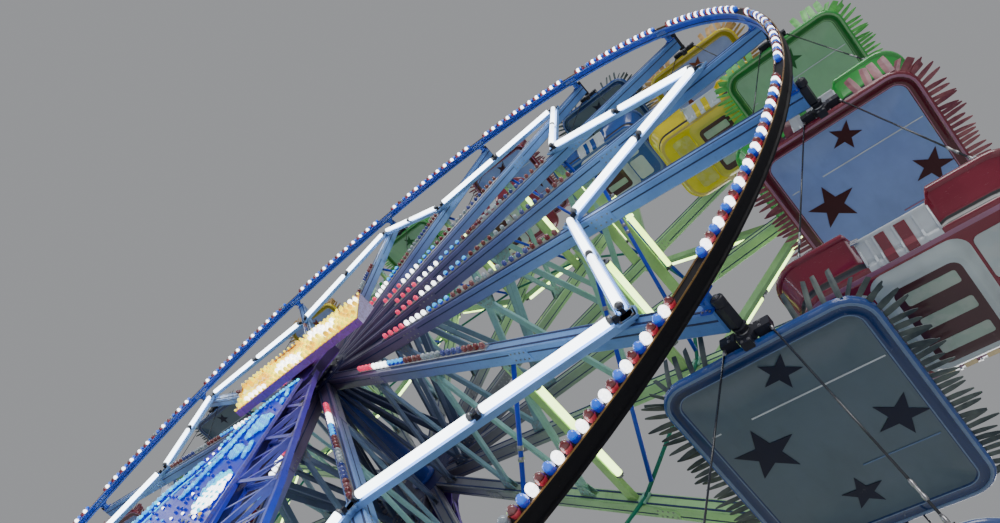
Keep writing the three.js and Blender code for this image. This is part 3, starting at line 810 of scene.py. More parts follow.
def cap_lamp(form, place, axis, radius, cap, collar, sides=8):
    """A lamp's collar and its round cap."""
    form.lathe(place, axis, [(radius * 0.84, 0), (radius * 0.92, radius * 0.35), (radius, radius * 0.5),
                             (radius, radius * 0.9)], sides, collar, True, False)
    form.lathe(place, axis, [(radius, radius * 0.9), (radius * 0.93, radius * 1.35),
                             (radius * 0.70, radius * 1.74), (radius * 0.30, radius * 1.98)], sides, cap)


# The wheel.

RING_FRONT, RING_BACK, RING_HALF = -1.660, -1.500, 0.065
SPOKE_FRONT, SPOKE_MID = -1.370, 1.26
HUB_HALF, TIP_HALF = 0.112, 0.082
SPOKE_ROOT, SPOKE_TIP = 0.52, 8.55
BORE = 0.1235                    # radius of the holes round the axle
WEB_FACE = 1.1495                # half the room between the front and rear spokes
CROSS_AT = 5.372                 # radius at which the cross beams lie
TRAY_BACK = 1.4053               # from the wheel's middle to the backs of the star trays
CLIP_LOW, CLIP_TOP, TUBE_LOW = 5.452, 5.480, 5.486      # radii on the cross beams


class WHEEL_OT_lamp_ring(bpy.types.Operator):
    """The blue band at the rim on its posts, with a lamp every few centimetres on its front"""

    bl_idname = "wheel.lamp_ring"
    bl_label = "Lamp ring"

    def execute(self, context):
        size = context.scene.wheel_sizes
        band = Form()
        for k in range(SECTIONS):
            self.section(band, size, spoke_angle(k), spoke_angle(k + 1))
            self.post(band, size, spoke_angle(k))
            self.splice(band, size, spoke_angle(k))
        names = ("rim", "rim_dark", "rim_bead", "bolt", "rim_flange")
        settle(band.object("rim_band", names), "wheel", "ring_blue", "light_ring")
        self.lamps(size)
        return {"FINISHED"}

    def lamps(self, size):
        """White, blue and dark red lamps in turn, none close to a spoke."""
        rng, lamps = random.Random(7), Form()
        first, spread = 0.068, 0.864
        for k in range(SECTIONS):
            for i in range(size.rim_lamps):
                angle = spoke_angle(k) - STEP * (first + spread * (i + 0.5) / size.rim_lamps)
                place = on_wheel(size.rim_radius, angle, RING_FRONT + 0.012)
                cap, collar = ((4, 5), (0, 0), (2, 1))[i % 3]
                if i % 3 == 1 and rng.random() < 0.06:
                    cap = collar = 3
                cap_lamp(lamps, place, -AXIS, size.rim_lamp_radius, cap, collar)
        names = ("lamp_white", "lamp_blue", "lamp_azure", "dark_clear", "dark_red", "base_red")
        settle(lamps.object("rim_lamps", names), "wheel", "ring_blue")

    def section(self, band, size, start, end):
        """One sixteenth of the band: flanges, recessed webs and the lamp tray between two beads."""
        steps = 10
        r0, r1 = size.rim_radius - RING_HALF, size.rim_radius + RING_HALF
        f, b, wall = RING_FRONT, RING_BACK, 0.018
        section = [
            (r1, f + 0.008, 1), (r1, f + 0.034, 1), (r1 - wall, f + 0.044, 1), (r1 - wall, b - 0.036, 1),
            (r1, b - 0.026, 1), (r1, b - 0.005, 1), (r1 - 0.006, b, 0), (r0 + 0.006, b, 4),
            (r0, b - 0.005, 4), (r0, b - 0.026, 4), (r0 + wall, b - 0.036, 1), (r0 + wall, b - 0.052, 0),
            (r0 + wall, f + 0.044, 0), (r0, f + 0.034, 4), (r0, f + 0.008, 4), (r0 + 0.004, f, 2),
            (r0 + 0.013, f, 2), (r0 + wall, f + 0.007, 1), (r0 + wall + 0.003, f + 0.013, 1),
            (r1 - wall - 0.003, f + 0.013, 1), (r1 - wall, f + 0.007, 2), (r1 - 0.013, f, 2),
            (r1 - 0.004, f, 2),
        ]
        base, count = len(band.points), len(section)
        for s in range(steps + 1):
            angle = start + (end - start) * s / steps
            band.points.extend(on_wheel(r, angle, y) for r, y, _ in section)
        for s in range(steps):
            for i in range(count):
                j = (i + 1) % count
                a, b = base + s * count, base + (s + 1) * count
                band.face((a + i, b + i, b + j, a + j), section[i][2])

    def post(self, band, size, angle):
        """The square post from a spoke to the band, with a flange bolted to the band's back."""
        start = on_wheel(size.rim_radius, angle, RING_BACK + 0.0006)
        end = on_wheel(size.rim_radius, angle, SPOKE_FRONT - 0.0006)
        run, side = outward(angle), onward(angle)
        band.beam(box(0.0848, 0.0848, 0.008), start, end, run, 4)
        for place, way in ((start, 1), (end, -1)):
            lift = AXIS * way
            band.beam(box(0.190, 0.118, 0.010), place, place + lift * 0.012, run, 0)
            for s, r in fours(0.072, 0.036):
                band.bolt(place + side * s + run * r + lift * 0.011, lift, 0.009, 3)
        for s in (-1, 1):
            foot = start + side * s * 0.042 + AXIS * 0.010
            band.plate([foot - run * 0.004, foot + side * s * 0.046 - run * 0.004,
                        foot + AXIS * 0.075 - run * 0.004], run, 0.008, 4)

    def splice(self, band, size, angle):
        """The bolted joint plates on the band's inner side, where two sections meet."""
        run, way = onward(angle), -outward(angle)
        middle = on_wheel(size.rim_radius - RING_HALF + 0.012, angle, (RING_FRONT + RING_BACK) / 2 + 0.002)
        band.beam(box(0.012, 0.062, 0.003), middle - run * 0.17, middle + run * 0.17, AXIS, 4)
        for t in (-0.14, -0.085, -0.03, 0.03, 0.085, 0.14):
            for y in (-0.017, 0.017):
                band.bolt(middle + run * t + AXIS * y + way * 0.005, way, 0.008, 3)


class WHEEL_OT_light_stars(bpy.types.Operator):
    """The eight-pointed stars of tray beams, each with two light tubes end to end"""

    bl_idname = "wheel.light_stars"
    bl_label = "Light stars"

    def execute(self, context):
        size = context.scene.wheel_sizes
        for side, node, tube, paint, skirt in (
                (-1, "star_front", "tube_white", "star", "skirt"),
                (1, "star_rear", "tube_green", "star_rear", "star_rear")):
            tray, tubes = Form(), Form()
            for k in range(SECTIONS):
                self.edge(tray, tubes, size, k, side)
            place = node.replace("star_", "")
            settle(tray.object("star_trays_" + place, (paint, "bolt", "dark", skirt), 0.003),
                   "wheel", "star_white", node)
            settle(tubes.object("star_tubes_" + place, (tube, "tube_cap")), "wheel", "star_white")
        return {"FINISHED"}

    def corner(self, size, k, side):
        """A point of the star, on spoke k."""
        radius = size.star_outer if k % 2 else size.star_inner
        return on_wheel(radius, spoke_angle(k), side * TRAY_BACK)

    def edge(self, tray, tubes, size, k, side):
        """One tray from an outer to an inner point of the star, with its two tubes."""
        out = AXIS * side
        a, b = self.corner(size, k, side), self.corner(size, k + 1, side)
        run = (b - a).normalized()
        tray.beam(channel(0.144, 0.070, 0.006), a - run * 0.05, b + run * 0.05, out, 3)
        middle = (a + b) / 2 + out * 0.004
        tray.beam(box(0.118, 0.030, 0.004), middle - run * 1.60, middle + run * 1.60, out, 0)
        for end in (a, b):
            place = end + out * 0.012
            tray.beam(box(0.190, 0.034, 0.004), place - run * 0.10, place + run * 0.10, out, 0)
            for t, v in fours(0.06, 0.06):
                tray.bolt(place + run * t + run.cross(out) * v + out * 0.016, out, 0.011, 1)
        half, radius = size.light_tube_length / 2, size.light_tube_radius
        lift = out * (0.030 + radius)
        for sign in (-1, 1):
            straight_tube(tubes, middle + run * sign * (half + 0.035) + lift, run, half, radius)
        for offset in (-2 * half - 0.055, 0, 2 * half + 0.055):
            place = middle + run * offset + out * 0.015
            tray.beam(box(0.044, 0.064, 0.006), place, place + out * (0.020 + radius), run, 2)


def straight_tube(tubes, centre, run, half, radius):
    """A light tube with its two end caps."""
    tubes.lathe(centre - run * half, run, [
        (radius * 0.8, 0.028), (radius, 0.045), (radius, 2 * half - 0.045),
        (radius * 0.8, 2 * half - 0.028)], 14, 0)
    for place, way in ((centre - run * half, run), (centre + run * half, -run)):
        tubes.lathe(place, way, [(radius * 0.5, 0), (radius * 0.92, 0.004),
                                 (radius * 0.98, 0.042), (radius * 0.86, 0.046)], 14, 1)


class WHEEL_OT_spokes(bpy.types.Operator):
    """Front and rear spokes, their hub plates, the cabin pins, and the lamps on the front ones"""

    bl_idname = "wheel.spokes"
    bl_label = "Spokes"

    def execute(self, context):
        size = context.scene.wheel_sizes
        for side, node in ((-1, "spokes_front"), (1, "spokes_rear")):
            beams = Form()
            for k in range(SECTIONS):
                self.spoke(beams, size, k, side)
            self.hub(beams, side)
            names = (node.replace("spokes", "spoke"), "seam", "bolt", "dark", "hub")
            settle(beams.object(node.replace("spokes", "spoke_beams"), names, 0.004),
                   "wheel", "spoke_paint", node)
        lamps = Form()
        for k in range(SECTIONS):
            self.lamps(lamps, size, k)
        names = ("lamp_red", "lamp_white", "lamp_cyan", "dark_red", "dark_clear", "dark_blue", "zinc",
                 "lamp_blue")
        settle(lamps.object("spoke_lamps", names), "wheel", "spoke_paint")
        return {"FINISHED"}

    def spoke(self, beams, size, k, side):
        """One tapered spoke with its seams, joints and outer end."""
        angle, out = spoke_angle(k), AXIS * side
        a, b = (on_wheel(r, angle, side * SPOKE_MID) for r in (SPOKE_ROOT, SPOKE_TIP))
        beams.beam(box(0.216, 0.212, 0.012), a, b, out, 0, (TIP_HALF / HUB_HALF, 1.0))
        for depth in (-1, 1):
            for edge in (-1, 1):
                self.seam(beams, a, b, angle, out * depth * 0.1085, edge)
            way, shift = onward(angle) * depth, out * 0.03
            beams.beam(box(0.018, 0.008), a + way * 0.1065 + shift, b + way * 0.0805 + shift, way, 1)
        for r in (2.3, 5.9):
            self.splice(beams, angle, r, out)
        self.tongue(beams, size, angle, side)

    def seam(self, beams, a, b, angle, lift, edge):
        """The dark seam where the spoke's cover plate is folded."""
        side = onward(angle) * edge
        beams.beam(box(0.022, 0.009), a + lift + side * 0.068, b + lift + side * 0.048, lift, 1)

    def splice(self, beams, angle, radius, out):
        """Bolted joint plates on both sides of a spoke."""
        run, side = outward(angle), onward(angle)
        centre = on_wheel(radius, angle, out.y * SPOKE_MID)
        half = 0.108 - (0.108 - 0.079) * (radius - SPOKE_ROOT) / (SPOKE_TIP - SPOKE_ROOT)
        for s in (-1, 1):
            at = centre + side * s * (half + 0.002)
            beams.beam(box(0.012, 0.150, 0.003), at - run * 0.17, at + run * 0.17, out, 0)
            for t in (-0.12, -0.04, 0.04, 0.12):
                for v in (-0.045, 0.045):
                    beams.bolt(at + side * s * 0.005 + run * t + out * v, side * s, 0.010, 2)

    def tongue(self, beams, size, angle, side):
        """The narrow end of a spoke, the round arm through it and the pin on the arm."""
        inward, run = -AXIS * side, outward(angle)
        start = on_wheel(SPOKE_TIP - 0.01, angle, side * SPOKE_MID)
        end = on_wheel(size.pivot_radius + 0.03, angle, side * SPOKE_MID)
        beams.beam(box(0.100, 0.212, 0.010), start, end, inward, 3, (0.86, 1.0))
        arm = on_wheel(size.pivot_radius, angle, side * 1.440)
        beams.lathe(arm, inward, [(0.040, -0.004), (0.050, 0.0), (0.052, 0.006), (0.052, 0.070)], 18, 3)
        near = on_wheel(size.pivot_radius, angle, side * 1.152)
        beams.lathe(near, inward, [(0.062, 0.0), (0.062, 0.014), (0.052, 0.020), (0.052, 0.048),
                                   (0.047, 0.052)], 18, 3)
        beams.lathe(near, inward, [(0.0445, 0.040), (0.0445, 0.146), (0.040, 0.150)], 18, 2)
        beams.bolt(arm + inward * -0.003, -inward, 0.020, 2)
        for s in (-1, 1):
            place = on_wheel(SPOKE_TIP - 0.03, angle, side * 1.374) + onward(angle) * s * 0.055
            beams.bolt(place - run * 0.02, -inward, 0.012, 2)

    def hub(self, beams, side):
        """The hub's drum between the spokes' roots, with its bolted cover."""
        out = AXIS * side
        root = AXLE + out * (SPOKE_MID - 0.110)
        beams.lathe(root, out, [(BORE, 0), (0.560, 0), (0.585, 0.010), (0.585, 0.210), (0.560, 0.220),
                                (BORE, 0.220)], 48, 4, False)
        cover = AXLE + out * (SPOKE_MID + 0.110)
        beams.lathe(cover, out, [(BORE, 0), (0.50, 0), (0.50, 0.014), (0.47, 0.020), (0.30, 0.024),
                                 (0.27, 0.044), (BORE, 0.044)], 40, 4, False)
        for a in turns(SECTIONS, STEP / 2 + FIRST):
            beams.bolt(cover + out * 0.019 + outward(a) * 0.41, out, 0.022, 2)
        for a in turns(8, FIRST):
            beams.bolt(cover + out * 0.040 + outward(a) * 0.20, out, 0.016, 2)

    def lamps(self, lamps, size, k):
        """The run of lamps on the inner third of a front spoke, in groups of four of one colour."""
        angle, out = spoke_angle(k), -AXIS
        groups = ((0, 0), (1, 1), (2, 7), (3, 3), (4, 4), (5, 5), (3, 3))     # cap and collar of each
        first = size.spoke_lamp_start
        last = first + size.spoke_lamp_pitch * (4 * len(groups) - 0.5)
        lamps.beam(box(0.082, 0.018, 0.004), on_wheel(first - 0.09, angle, SPOKE_FRONT - 0.006),
                   on_wheel(last, angle, SPOKE_FRONT - 0.006), out, 6)
        for i in range(4 * len(groups)):
            place = on_wheel(first + size.spoke_lamp_pitch * i, angle, SPOKE_FRONT - 0.014)
            cap_lamp(lamps, place, out, 0.037, *groups[i // 4])


class WHEEL_OT_lattice(bpy.types.Operator):
    """The sleeve, the zigzag webs between the spokes, the axle and the thin brace rods"""

    bl_idname = "wheel.lattice"
    bl_label = "Lattice and axle"

    def execute(self, context):
        size = context.scene.wheel_sizes
        webs, tubes = Form(), Form()
        webs.lathe(AXLE - AXIS * WEB_FACE, AXIS, [
            (BORE, 0), (0.240, 0), (0.240, 0.030), (0.166, 0.045), (0.166, 2.254), (0.240, 2.269),
            (0.240, 2.299), (BORE, 2.299)], 32, 1, False)
        for k in range(SECTIONS):
            self.web(webs, k)
            self.cross(webs, tubes, size, spoke_angle(k))
        settle(webs.object("lattice_webs", ("lattice", "sleeve", "bolt", "cross", "dark"), 0.003),
               "wheel", "lattice_blue", "lattice")
        settle(tubes.object("cross_tubes", ("tube_green", "tube_cap")), "wheel", "lattice_blue")
        shaft = Form()
        shaft.lathe(AXLE - AXIS * 1.740, AXIS, [
            (0.090, 0), (0.108, 0.002), (0.118, 0.014), (0.118, 3.466), (0.108, 3.478), (0.090, 3.480)],
            40, 0)
        for end in (-1, 1):
            for a in turns(6):
                shaft.bolt(AXLE + AXIS * end * 1.738 + outward(a) * 0.062, AXIS * end, 0.012, 1)
        settle(shaft.object("axle_shaft", ("zinc", "bolt"), 0.002), "wheel", "axle_steel", "axle")
        self.rods()
        return {"FINISHED"}

    def web(self, webs, k):
        """One zigzag of square bars from the sleeve outward, gusseted to both spokes."""
        angle = spoke_angle(k)
        side = onward(angle)
        stops, start, end, face = 7, 0.125, 5.46, WEB_FACE
        nodes = [(start + (end - start) * i / (stops - 1), 1 if i % 2 else -1) for i in range(stops)]
        for (r0, s0), (r1, s1) in zip(nodes, nodes[1:]):
            a = on_wheel(r0 + (0.06 if r0 == start else 0), angle, s0 * (face - 0.060))
            b = on_wheel(r1 - (0.06 if r1 == end else 0), angle, s1 * (face - 0.060))
            webs.beam(box(0.056, 0.094, 0.008), a, b, outward(angle), 0)
        for r, sign in nodes[1:]:
            low, high = max(start, r - 0.150), min(end, r + 0.150)
            rise = (high - low) * 0.26
            outline = [on_wheel(at, angle, sign * y) for at, y in (
                (low, face), (high, face), (high - rise, face - 0.175), (low + rise, face - 0.175))]
            for lift in (-1, 1):
                shift = side * lift * 0.0275
                webs.plate([p + shift for p in outline], side * lift, 0.008, 0)
                for t, y in ((-0.07, 0.045), (0.07, 0.045), (0.0, 0.11)):
                    middle = on_wheel((low + high) / 2 + t, angle, sign * (face - y))
                    webs.bolt(middle + side * lift * 0.0350, side * lift, 0.010, 2)

    def cross(self, webs, tubes, size, angle):
        """The deep beam between two spokes at the zigzag's end, with a light tube along its outer edge."""
        run, half, radius = outward(angle), size.light_tube_length / 2, size.light_tube_radius
        webs.beam(box(0.060, 0.170, 0.006), on_wheel(CROSS_AT, angle, -1.149),
                  on_wheel(CROSS_AT, angle, 1.149), run, 3)
        for y in (-half, half):
            webs.beam(box(0.050, 0.030, 0.004), on_wheel(CLIP_LOW, angle, y),
                      on_wheel(CLIP_TOP + radius, angle, y), AXIS, 4)
        straight_tube(tubes, on_wheel(TUBE_LOW + radius, angle), AXIS, half, radius)

    def rods(self):
        """The ring of rods behind, and a slanting rod from each rear spoke to the next front one."""
        rods = Form()
        radius, back, turn = 5.60, 1.1497, math.radians(2.2)
        for k in range(SECTIONS):
            a, b = spoke_angle(k), spoke_angle(k - 1)
            start, end = on_wheel(radius, a, back - 0.026), on_wheel(radius, b, back - 0.026)
            rods.tube([start, end], 0.025, 10, 3, (0, 1, 0))
            node = on_wheel(radius, a, back - 0.017)
            rods.beam(box(0.15, 0.030, 0.004), node - outward(a) * 0.07, node + outward(a) * 0.03, AXIS, 1)
            for s in (-0.045, 0.045):
                rods.bolt(node - outward(a) * 0.03 + onward(a) * s - AXIS * 0.014, -AXIS, 0.013, 2)
            reach = radius * math.cos(STEP / 2) / math.cos(STEP / 2 - turn)
            top, foot = on_wheel(reach, a + turn, back - 0.032), on_wheel(radius - 0.06, b, -back + 0.006)
            rods.tube([foot, top], 0.028, 10, 0, (1, 0, 0))
            for share in (0.30, 0.34):
                place = foot + (top - foot) * share
                rods.lathe(place, top - foot, [(0.029, 0), (0.036, 0.004), (0.036, 0.050), (0.029, 0.054)],
                           10, 2)
            rods.beam(box(0.09, 0.012, 0.003), foot - outward(b) * 0.06, foot + outward(b) * 0.06, AXIS, 1)
        names = ("rod", "lattice", "bolt", "rod_teal")
        settle(rods.object("brace_rod_set", names), "wheel", "rod_blue", "brace_rods")


# The cabins, drawn about their pivot.

CANOPY_X, CANOPY_Y, CANOPY_CORNER = 0.875, 1.030, 0.250
CANOPY_TOP, CANOPY_PAN, CANOPY_LOW = -0.062, -0.098, -0.145
LINING_LOW = -0.128
RAIL, DOOR_TOP, BENCH, FLOOR = -1.960, -2.200, -2.240, -2.540
DOOR, DOOR_RUN = 0.290, 0.070
ARM = 1.051                      # from the cabin's middle to each cross arm, along the axle
STAY_X, STAY_Y = 0.750, 0.738    # where the stays stand on the rail


class WHEEL_OT_cabins(bpy.types.Operator):
    """Sixteen cabins in four colours: roof with leaves, hanger with stays, tub with benches"""

    bl_idname = "wheel.cabins"
    bl_label = "Cabins"

    def execute(self, context):
        size = context.scene.wheel_sizes
        kits = {}
        for k in range(SECTIONS):
            paint = paint_name(k)
            if paint not in kits:
                kits[paint] = self.kit(size, paint)
            self.place(kits[paint], size, k)
        for kit in kits.values():
            for pattern, _, _ in kit:
                bpy.data.objects.remove(pattern)
        return {"FINISHED"}

    def kit(self, size, paint):
        """Pattern pieces about the pivot, each with its node's ending and record slot."""
        return [
            (roof_form(paint), "canopy", "canopy_" + paint),
            (roof_leaves(size, paint), "", "canopy_" + paint),
            (hanger(), "", "canopy_" + paint),
            (tub_form(paint), "tub", "tub_" + paint),
            (tub_fittings(paint), "", "tub_" + paint),
            (bench_pads(), "", "tub_" + paint),
        ]

    def place(self, kit, size, k):
        """Hangs a cabin on its pivot, out of copies that share the pattern pieces' meshes."""
        where = on_wheel(size.pivot_radius, spoke_angle(k))
        label = f"cabin_{k + 1:02d}"
        for pattern, node, slot in kit:
            piece = bpy.data.objects.new(f"{label}_{pattern.name}", pattern.data)
            bpy.context.scene.collection.objects.link(piece)
            piece.location = where
            for modifier in pattern.modifiers:
                softened(piece, modifier.width)
            settle(piece, label, slot, *([f"{label}_{node}"] if node else []))


def roof_ring(inset, z, turned=False):
    """The roof's plan, inset metres inside its edge."""
    ring = rounded(CANOPY_X - inset, CANOPY_Y - inset, max(CANOPY_CORNER - inset, 0.03), z, 6)
    return ring[::-1] if turned else ring


def roof_form(paint):
    """The moulded roof: a rolled rim, a band under it painted dark as painted shade, and a sunk pale lining
    with four stars below.
    """
    roof = Form()
    rim = [(0.022, -0.141), (0.010, -0.137), (0.001, -0.126), (0.0, -0.112), (0.006, -0.106),
           (0.0, -0.100), (0.0, -0.082), (0.005, -0.069), (0.018, CANOPY_TOP), (0.034, -0.064),
           (0.048, -0.076), (0.060, CANOPY_PAN), (0.20, CANOPY_PAN + 0.002), (0.42, CANOPY_PAN + 0.005)]
    last = roof.bands([roof_ring(d, z) for d, z in rim], [0] * 13, True)
    size = len(roof.points) - last
    roof.close(last, size)
    # The first bands under the rim's lip take finish 3, painted highlight lines.
    below = [(0.022, -0.141), (0.026, CANOPY_LOW), (0.042, CANOPY_LOW), (0.048, -0.139), (0.052, -0.137),
             (0.116, -0.1365), (0.120, -0.139), (0.130, -0.139), (0.138, LINING_LOW), (0.45, -0.125)]
    # Finish 2 is the band painted dark for the shade under the rim: painted shade.
    last = roof.bands([roof_ring(d, z, True) for d, z in below], [3, 3, 3, 2, 2, 2, 3, 2, 1], True)
    roof.close(last, size, 1)
    for y, x0, x1, number in ((-0.46, -0.70, -0.62, 4), (-0.46, -0.35, 0.72, 4), (0.35, 0.10, 0.70, 3)):
        roof.beam(box(0.012, 0.006), (x0, y, LINING_LOW), (x1, y, LINING_LOW), UP, number)
    for x, y, turn, radius in ((0.05, -0.72, -56, 0.165), (0.55, 0.06, -56, 0.205),
                               (-0.43, -0.11, 128, 0.26), (-0.03, 0.60, 128, 0.17)):
        outline = [(x + a, y + b, LINING_LOW + 0.001) for a, b in star_points(radius, math.radians(turn))]
        roof.plate(outline, (0, 0, -1), 0.004, 5)
    for x in (-0.55, 0.55):
        roof.along_y(box(0.05, 0.012, 0.004), x, 0.86, CANOPY_PAN + 0.006)
    for y in (-0.55, 0.0, 0.55):
        roof.along_x(box(0.05, 0.012, 0.004), 0.72, y, CANOPY_PAN + 0.007)
    names = ("mould_" + paint, "lining_" + paint, "band_" + paint, "trim_" + paint, "white_mould",
             "star_" + paint)
    return roof.object("roof", names)


def roof_leaves(size, paint):
    """Rows of flat leaves that stand out from the rim, left out by the pivots."""
    rng = random.Random(11)
    leaves = Form()
    thin = 0.5 if paint == "blue" else 1.0
    for sign in (-1, 1):
        count = 29
        for i in range(count):
            y = -0.85 + 1.70 * i / (count - 1)
            corner = max(0.0, abs(y) - 0.66) / 0.19
            x = CANOPY_X - 0.03 - 0.055 * corner ** 2
            fan = math.copysign(0.55 * corner, y) + rng.uniform(-0.09, 0.09)
            way = Vector((sign, fan, rng.uniform(-0.12, 0.16)))
            leaf(leaves, Vector((sign * x, y, -0.104)), way, size, rng, 0.52, 0.92, 0.25)
        for x_sign in (-1, 1):
            for i in range(3):
                turn = math.radians(30 + 16 * i)
                at = Vector((x_sign * (CANOPY_X - 0.25 + 0.22 * math.cos(turn)),
                             sign * (CANOPY_Y - 0.25 + 0.22 * math.sin(turn)), -0.100))
                way = Vector((x_sign * math.cos(turn), sign * 0.34 * math.sin(turn), 0.35 + 0.2 * i))
                leaf(leaves, at, way, size, rng, thin, 0.78)
            for i in range(4):
                x = x_sign * (0.38 + 0.108 * i)
                way = Vector((rng.uniform(-0.12, 0.12), sign * 0.33, 0.94))
                leaf(leaves, Vector((x, sign * (CANOPY_Y - 0.015), -0.098)), way, size, rng, thin, 1.18)
    return leaves.object("leaves", ("leaf_" + paint,))


def leaf(leaves, root, way, size, rng, wide, reach, tip=0.85):
    """One leaf: a flat slat, a little twisted, its tip cut slanting or drawn to a point."""
    way = way.normalized()
    side = way.cross(UP)
    if abs(way.z) > 0.6:
        side = Vector((1, 0, 0))
    side.normalize()
    lift = side.cross(way).normalized()
    length = size.leaf_length * reach * rng.uniform(0.84, 1.10)
    width = size.leaf_width * wide * rng.uniform(0.88, 1.04) / 2
    twist, droop, slant = rng.uniform(-0.25, 0.25), rng.uniform(0.0, 0.08), rng.uniform(-0.5, 0.5)
    rings = []
    for t, w in ((0.0, 0.92), (0.5, 1.0), (0.86, 0.5 + tip / 2), (1.0, tip)):
        centre = root + way * length * t - lift * droop * length * t * t
        lean = (side + lift * twist * t + way * slant * (t > 0.9)).normalized()
        thick = lift * 0.0025
        rings.append([centre - lean * width * w - thick, centre + lean * width * w - thick,
                      centre + lean * width * w + thick, centre + lift * width * 0.06 * w + thick,
                      centre - lean * width * w + thick])
    leaves.skin(rings, 0, False)


def hanger():
    """Bored end blocks on the pins, the cross arms, the spine and four stays."""
    form = Form()
    for s in (-1, 1):
        out = AXIS * s
        middle = out * ARM
        bush(form, middle - out * 0.039, out)
        for x in (-1, 1):
            near, far, end = ((x * reach, s * ARM, 0) for reach in (0.080, 0.200, 0.205))
            form.beam(channel(0.100, 0.078, 0.010), near, far, -out)
            form.beam(box(0.100, 0.078, 0.004), far, end, out)
            for z in (-0.028, 0.028):
                form.bolt((x * 0.128, s * 1.089, z), out, 0.011, 2)
            stay(form, x, s)
        form.beam(box(0.088, 0.074, 0.006), (0, s * ARM, -0.080), (0, s * ARM, -0.140), out, 0)
        for x in (-0.026, 0.026):
            form.bolt((x, s * 1.087, -0.118), out, 0.010, 2)
        for x in (-1, 1):
            fin = [(x * 0.042, s * y, z) for y, z in ((0.90, -0.094), (1.012, -0.094), (1.012, -0.044))]
            form.plate(fin, (x, 0, 0), 0.008)
    form.along_y(box(0.076, 0.044, 0.008), 0, 1.06, -0.088)
    for y in (-0.70, -0.25, 0.25, 0.70):
        form.beam(box(0.17, 0.008, 0.003), (0, y - 0.04, -0.087), (0, y + 0.04, -0.087), UP, 0)
        for x in (-0.062, 0.062):
            form.bolt((x, y, -0.083), UP, 0.010, 2)
    return form.object("hanger", ("dark", "thin_rod", "bolt"))


def bush(form, start, axis):
    """A round boss with a bore that is clear of the pin."""
    rings = [(0.0495, 0), (0.0495, 0.078), (0.060, 0.078), (0.064, 0.073), (0.086, 0.071),
             (0.088, 0.066), (0.088, 0.012), (0.086, 0.007), (0.064, 0.005), (0.060, 0.0)]
    side, top = across(axis, (0.3, 0.5, 0.8))
    loops = [[start + axis * h + (side * math.cos(a) + top * math.sin(a)) * r for a in turns(24)]
             for r, h in rings]
    form.skin([list(reversed(ring)) for ring in loops], 0, False, False, True)


def stay(form, x, s):
    """A thin rod from the cross arm to the tub's rail, with an eye and a turnbuckle."""
    top, foot = Vector((x * 0.188, s * 1.050, -0.02)), Vector((x * STAY_X, s * STAY_Y, RAIL + 0.018))
    run = (foot - top).normalized()
    form.tube([top + run * 0.03, foot - run * 0.02], 0.0085, 8, 1)
    for place, way in ((top, run), (foot, -run)):
        form.lathe(place, way, [(0.008, -0.008), (0.015, 0.0), (0.015, 0.05), (0.009, 0.075)], 8, 2)
    form.lathe(foot - run * 0.34, run, [(0.009, 0), (0.0135, 0.014), (0.0135, 0.046), (0.010, 0.056),
                                        (0.010, 0.110), (0.0135, 0.120), (0.0135, 0.152), (0.009, 0.166)],
               8, 2)
    form.beam(box(0.050, 0.010, 0.003), foot + Vector((-0.03, 0, -0.013)),
              foot + Vector((0.03, 0, -0.013)), UP, 0)


def tub_ring(half_x, half_y, z, door_z, radius):
    """The tub's plan: round ends, and a door's width in the middle of each long side."""
    ring = rounded(half_x, half_y, radius, z, 7)
    scale = min(1.0, (half_x - radius) * 0.97 / (DOOR + DOOR_RUN))
    steps = [(DOOR + DOOR_RUN * share, share * share * (3 - 2 * share)) for share in (1.0, 0.66, 0.33, 0.0)]
    half = [(x * scale, door_z + (z - door_z) * rise) for x, rise in steps]
    far = [Vector((x, half_y, at)) for x, at in half] + [Vector((-x, half_y, at)) for x, at in half[::-1]]
    near = [Vector((-p.x, -p.y, p.z)) for p in far]
    quarter = len(ring) // 4
    return ring[:quarter] + far + ring[quarter:3 * quarter] + near + ring[3 * quarter:]


# Each ring of the tub: half lengths along X and Y, height, height at the doors, corner, and the
# finish of the band above it: 0 paint, 1 white, 2 groove, 3 foot plate, 4 painted highlight line, 5 pale
# underside.
TUB_RINGS = [
    (0.300, 0.450, -2.540, -2.540, 0.11, 5), (0.318, 0.468, -2.532, -2.532, 0.12, 5),
    (0.350, 0.505, -2.500, -2.500, 0.13, 5), (0.375, 0.535, -2.462, -2.462, 0.14, 5),
    (0.390, 0.540, -2.455, -2.455, 0.14, 0), (0.880, 0.550, -2.440, -2.440, 0.20, 4),
    (0.905, 0.565, -2.437, -2.438, 0.21, 4), (0.925, 0.585, -2.425, -2.428, 0.22, 0),
    (0.940, 0.610, -2.400, -2.406, 0.24, 0), (0.945, 0.618, -2.385, -2.396, 0.24, 2),
    (0.925, 0.600, -2.375, -2.390, 0.23, 2), (0.935, 0.612, -2.315, -2.346, 0.24, 2),
    (0.960, 0.628, -2.304, -2.340, 0.25, 0), (0.972, 0.642, -2.286, -2.328, 0.25, 0),
    (1.046, 0.735, -2.032, -2.238, 0.27, 0), (1.056, 0.746, -2.030, -2.234, 0.28, 0),
    (1.074, 0.763, -2.018, -2.226, 0.28, 0), (1.080, 0.770, -2.000, -2.218, 0.28, 0),
    # The white band and the two bands above it on the rail's top roll are painted highlight lines.
    (1.080, 0.770, -1.980, -2.208, 0.28, 1), (1.072, 0.762, -1.963, -2.202, 0.28, 4),
    (1.056, 0.746, -1.960, -2.200, 0.27, 4), (1.040, 0.730, -1.963, -2.202, 0.26, 0),
    (1.034, 0.724, -1.975, -2.210, 0.26, 0), (0.935, 0.622, -2.222, -2.232, 0.24, 1),
    (0.920, 0.606, BENCH, BENCH, 0.23, 1), (0.360, 0.590, BENCH, BENCH, 0.15, 1),
    (0.352, 0.580, -2.252, -2.252, 0.15, 1), (0.306, 0.452, -2.496, -2.496, 0.12, 3),
    (0.292, 0.438, -2.505, -2.505, 0.11, 3),
]


